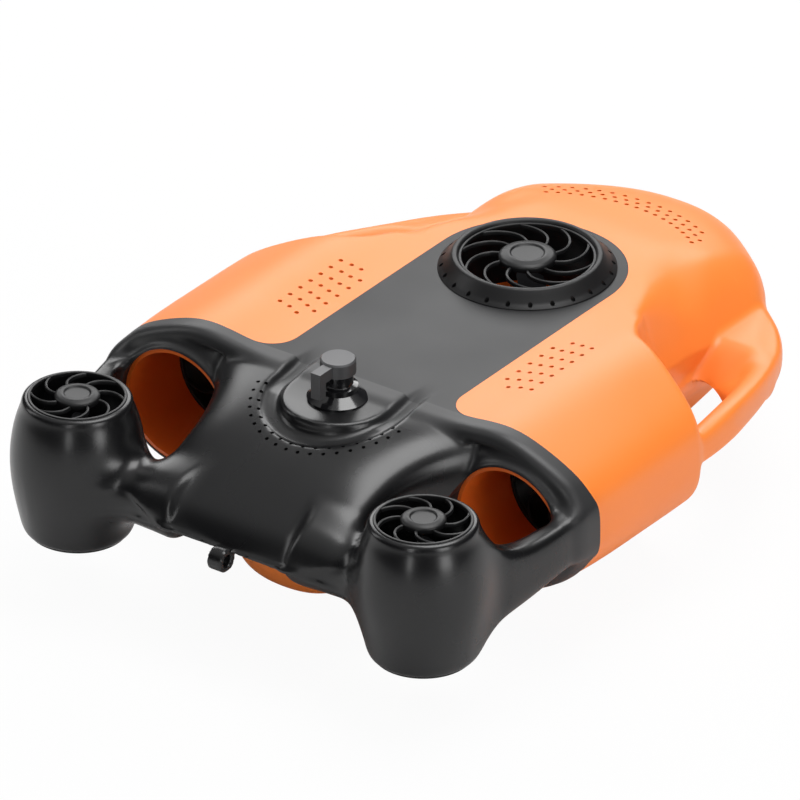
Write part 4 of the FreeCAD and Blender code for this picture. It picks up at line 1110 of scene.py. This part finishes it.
def build_shells():
    """Upper shell with the handles, lower shell with the belly stern, and the deck cover."""
    orange, hollow = build_orange()
    behind = block("behind", (-200, -130, -10), (200, SHELL_REAR_Y, 140))
    carve(orange, [behind])
    main_hole = rod_between("main_hole", MAIN_HOLE_R, (0, MAIN_Y, -5), (0, MAIN_Y, 140))
    bed = panel_bed(PANEL_DEPTH)
    strip = prism("strip", stadium_outline(0.0), 88, 130)
    cover = carve(copy_of(orange, "deck_cover"), [strip], "INTERSECT")
    carve(cover, [bed, main_hole])
    seat = prism("seat", stadium_outline(FIT_GAP), 88, 130)
    carve(seat, [bed])
    ducts = [pod_bound(side) for side in (-1, 1)]
    lamps = [lamp_seat(side, FIT_GAP) for side in (-1, 1)]
    bezel = rod_between("bezel_hole", BEZEL_HOLE_R, (0, 150, 68), (0, 235, 68))
    drains = hole_cutter("drain_holes", drain_places(), DRAIN_R, 80, 130, ORANGE)
    groove = [block("seam_groove", (side * SEAM_GROOVE_X - 1.6, 43, 67.85),
                    (side * SEAM_GROOVE_X + 1.6, 74, 68.2)) for side in (-1, 1)]
    carve(orange, [hollow, main_hole, seat, *ducts, *lamps, bezel, drains, *groove])
    zone = block("upper_zone", (-190, -120, SEAM_Z), (190, 230, 140))
    for side in (-1, 1):
        part = prism("handle_zone", on_side(HANDLE_ZONE, side), -8, 100)
        carve(zone, [part], "UNION")
        remove(part)
    lower = carve(copy_of(orange, "lower_shell_skin"), [zone])
    upper = carve(orange, [zone], "INTERSECT")
    upper.name = "upper_shell_skin"
    points, quads = skin(stern_form, (-72, -162, 4), (72, -66, 70), 2.0)
    stern = make_object("stern", points, quads)
    front = block("front", (-80, -83.0, -5), (80, -50, 80))
    # this cut isn't carried out: the stern's skin is open at its front end, inside the hull
    carve(stern, [front])
    lower = merged("lower_shell_skin", [lower, stern])
    remove(behind, hollow, main_hole, bed, strip, seat, *ducts, *lamps, bezel, drains, *groove,
           zone, front)
    finished(upper, ORANGE)
    finished(lower, ORANGE)
    finished(cover, DECK_WITH_PAINTED_LIGHT)
    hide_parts("upper_shell", "handle_left", "handle_right")
    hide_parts("lower_shell")
    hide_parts("deck_panel")


# radius and count of each row of pits round the tongue
TONGUE_PITS = ((41.5, 17), (46.0, 19))
TONGUE_PIT_SPREAD = 79
# radius, foot and top of each cut in a barrel: bore and the seats of the two guards
BARREL_CUTS = ((BARREL_BORE_R, 20, 120), (GUARD_SEAT_R, 108, 120), (GUARD_SEAT_R, 20, 33))


def build_tail():
    """Tail housing in one piece: hoods, bridge, barrels and arms."""
    cell = 1.3
    points, quads = skin(lambda x, y, z: both(tail_form(x, y, z), y + 78.0, 0.5),
                         (-157, -221, 3), (157, -75, 124), cell)
    tail = make_object("tail_housing", points, quads)
    cutters = [block("front", (-200, SHELL_REAR_Y + FIT_GAP, -10), (200, -50, 140))]
    for x in (-DUCT_X, DUCT_X):
        cutters.append(rod_between("duct_hole", DUCT_HOLE_R, (x, -110, DUCT_Z), (x, -60, DUCT_Z)))
    for x in (-BARREL_X, BARREL_X):
        for radius, foot, top in BARREL_CUTS:
            cutters.append(rod_between("bore", radius, (x, BARREL_Y, foot), (x, BARREL_Y, top)))
    places = []
    for radius, count in TONGUE_PITS:
        for k in range(count):
            a = math.radians(-TONGUE_PIT_SPREAD + 2 * TONGUE_PIT_SPREAD * k / (count - 1))
            places.append((radius * math.sin(a), TONGUE_Y - radius * math.cos(a), 0))
    cutters.append(hole_cutter("tongue_pits", places, 1.05, 98, 130, BLACK))
    carve(tail, cutters)
    remove(*cutters)
    finished(tail, BLACK)
    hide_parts("tail_cover", "tail_barrel_left", "tail_barrel_right")


# ---- guards ----
def spoke_shape(start, end, twist, width=1.6, tall=2.2, top=-0.3):
    """Rounded rib that leaves the hub radially and bends round towards the rim."""
    stations = 14
    points = []
    faces = []
    section = [(-0.5, -1.0), (0.5, -1.0), (0.5, -0.35), (0.36, -0.1), (0.0, 0.0), (-0.36, -0.1),
               (-0.5, -0.35)]
    for s in range(stations + 1):
        t = s / stations
        radius = start + (end - start) * t
        bend = math.radians(twist * (0.15 * t + 0.85 * t * t))
        ahead = math.radians(twist * (0.15 + 1.7 * t)) / (end - start)
        tangent = np.array((math.cos(bend) - radius * math.sin(bend) * ahead,
                            math.sin(bend) + radius * math.cos(bend) * ahead))
        tangent /= np.linalg.norm(tangent)
        across = np.array((-tangent[1], tangent[0]))
        place = np.array((radius * math.cos(bend), radius * math.sin(bend)))
        for a, b in section:
            p = place + across * a * width
            points.append((p[0], p[1], top + b * tall))
    n = len(section)
    for s in range(stations):
        for k in range(n):
            j = (k + 1) % n
            faces.append((s * n + k, (s + 1) * n + k, (s + 1) * n + j, s * n + j))
    faces.append(tuple(range(n)))
    faces.append(tuple(reversed(range(stations * n, stations * n + n))))
    return make_object("spokes", points, faces)


GUARD_FOOT = -2.6


def guard_piece(name, rim, hub, count, twist, rise, centre, axis, collar=None):
    """Guard of a thruster: rim, spiral spokes and a domed hub with a plain dished middle."""
    inner = rim - 1.6
    ribs = spoke_shape(hub - 1.0, inner + 0.5, twist)
    run_tree(ribs, RING, Count=count, Finish=GUARD, **{"Start Angle": 0.3})
    square = [(inner, GUARD_FOOT), (rim, GUARD_FOOT), (rim, 0.0), (inner, 0.0)]
    ring = turned("rim", softened(square, 0.5), count=96)
    dish = hub * 0.60
    domed = [(0, GUARD_FOOT), (hub, GUARD_FOOT), (hub, rise * 0.15), (hub * 0.9, rise * 0.62),
             (dish + 1.1, rise), (dish, rise - 0.15), (dish - 0.7, rise - 0.9), (0, rise - 0.75)]
    parts = [ribs, ring, turned("hub", softened(domed, 0.7, 4), count=72)]
    if collar:
        flare = turned("collar", collar, count=128)
        turns = [2 * math.pi * (k + 0.5) / COLLAR_PITS for k in range(COLLAR_PITS)]
        places = [(COLLAR_PIT_R * math.cos(a), COLLAR_PIT_R * math.sin(a), 0) for a in turns]
        pits = hole_cutter("collar_pits", places, 1.25, -6.3, 4.0, GUARD)
        parts.append(carve(flare, [pits]))
        remove(pits)
    piece = merged(name + "_detail", parts)
    xyz = np.zeros(len(piece.data.vertices) * 3)
    piece.data.vertices.foreach_get("co", xyz)
    xyz = turn_points(xyz.reshape(-1, 3) / MM, centre, axis) * MM
    piece.data.vertices.foreach_set("co", xyz.ravel())
    piece.data.update()
    finished(piece, GUARD, angle=40)
    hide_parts(name)


def build_guards():
    """The main guards, then those of the tail barrels and ducts on each side."""
    inner = MAIN_R
    outer = COLLAR_OUTER_R
    collar = softened([(inner - 0.2, -7), (inner + 2.2, -7), (outer, -7.0), (outer, -6.5),
                       (inner + 8.5, -4.6), (inner + 6.0, -1.8), (inner + 3.2, 1.4),
                       (inner + 1.2, 1.6), (inner - 0.2, 0.3)], 0.9, 4)
    guard_piece("main_guard_top", MAIN_R, 15.4, 10, 42, 2.4, (0, MAIN_Y, 119.0), (0, 0, 1), collar)
    guard_piece("main_guard_bottom", MAIN_R - 0.05, 15.4, 10, 42, 1.8, (0, MAIN_Y, 13.0),
                (0, 0, -1))
    for name, side in (("left", -1), ("right", 1)):
        tail_x = side * BARREL_X
        duct_x = side * DUCT_X
        for kind, rim, centre, axis in (
                ("tail_guard_top_", TAIL_GUARD_R, (tail_x, BARREL_Y, BARREL_TOP + 0.6), (0, 0, 1)),
                ("tail_guard_bottom_", TAIL_GUARD_R, (tail_x, BARREL_Y, BARREL_FOOT - 0.6),
                 (0, 0, -1)),
                ("duct_guard_rear_", DUCT_GUARD_R, (duct_x, -54, DUCT_Z), (0, -1, 0)),
                ("duct_guard_front_", DUCT_GUARD_R, (duct_x, 8, DUCT_Z), (0, 1, 0))):
            guard_piece(kind + name, rim, 12, 8, 36 * side, 1.8, centre, axis)


def build_bezel():
    """Bezel of the nose camera; its rim is chamfered to follow the nose."""
    back = NOSE_Y - 20.0
    profile = [(11.7, 0.0), (21.0, 0.0), (21.0, 7.0), (17.9, 15.9), (17.1, 15.9), (15.1, 10.0),
               (15.1, 5.0), (11.7, 5.0)]
    bezel = turned("camera_bezel_detail", softened(profile, 0.5), (0, back, SEAM_Z), (0, 1, 0), 96)
    finished(bezel, GLOSS)
    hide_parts("camera_bezel")


# finish and the CAD pieces that wear it, named without their side
NODE_FINISHES = (
    (LAMP, "accessory_plate lamp_body"), (BATTERY, "battery_pack"), (BOARD, "controller_board"),
    (GLOSS, "camera_body tether_socket"), (WINDOW, "camera_dome lamp_lens"),
    (CASE, "case_lid case_tray"), (MAIN_TUNNEL, "main_liner"), (DUCT_TUNNEL, "duct_liner"),
    (MOTOR, "main_motor duct_motor tail_motor"), (CAP, "socket_cap"), (RUBBER, "skid"),
    (PROPELLER, "main_propeller duct_propeller tail_propeller"))


def dress_nodes():
    """Finishes for the CAD pieces that keep their own shape."""
    finish = {kind: material for material, kinds in NODE_FINISHES for kind in kinds.split()}
    for name, obj in nodes.items():
        material = finish.get(name.removesuffix("_left").removesuffix("_right"))
        if material is None:
            continue
        if not obj.material_slots:
            obj.data.materials.append(material)
        for place in obj.material_slots:
            place.material = material


build_shells()
build_tail()
build_guards()
build_bezel()
dress_nodes()
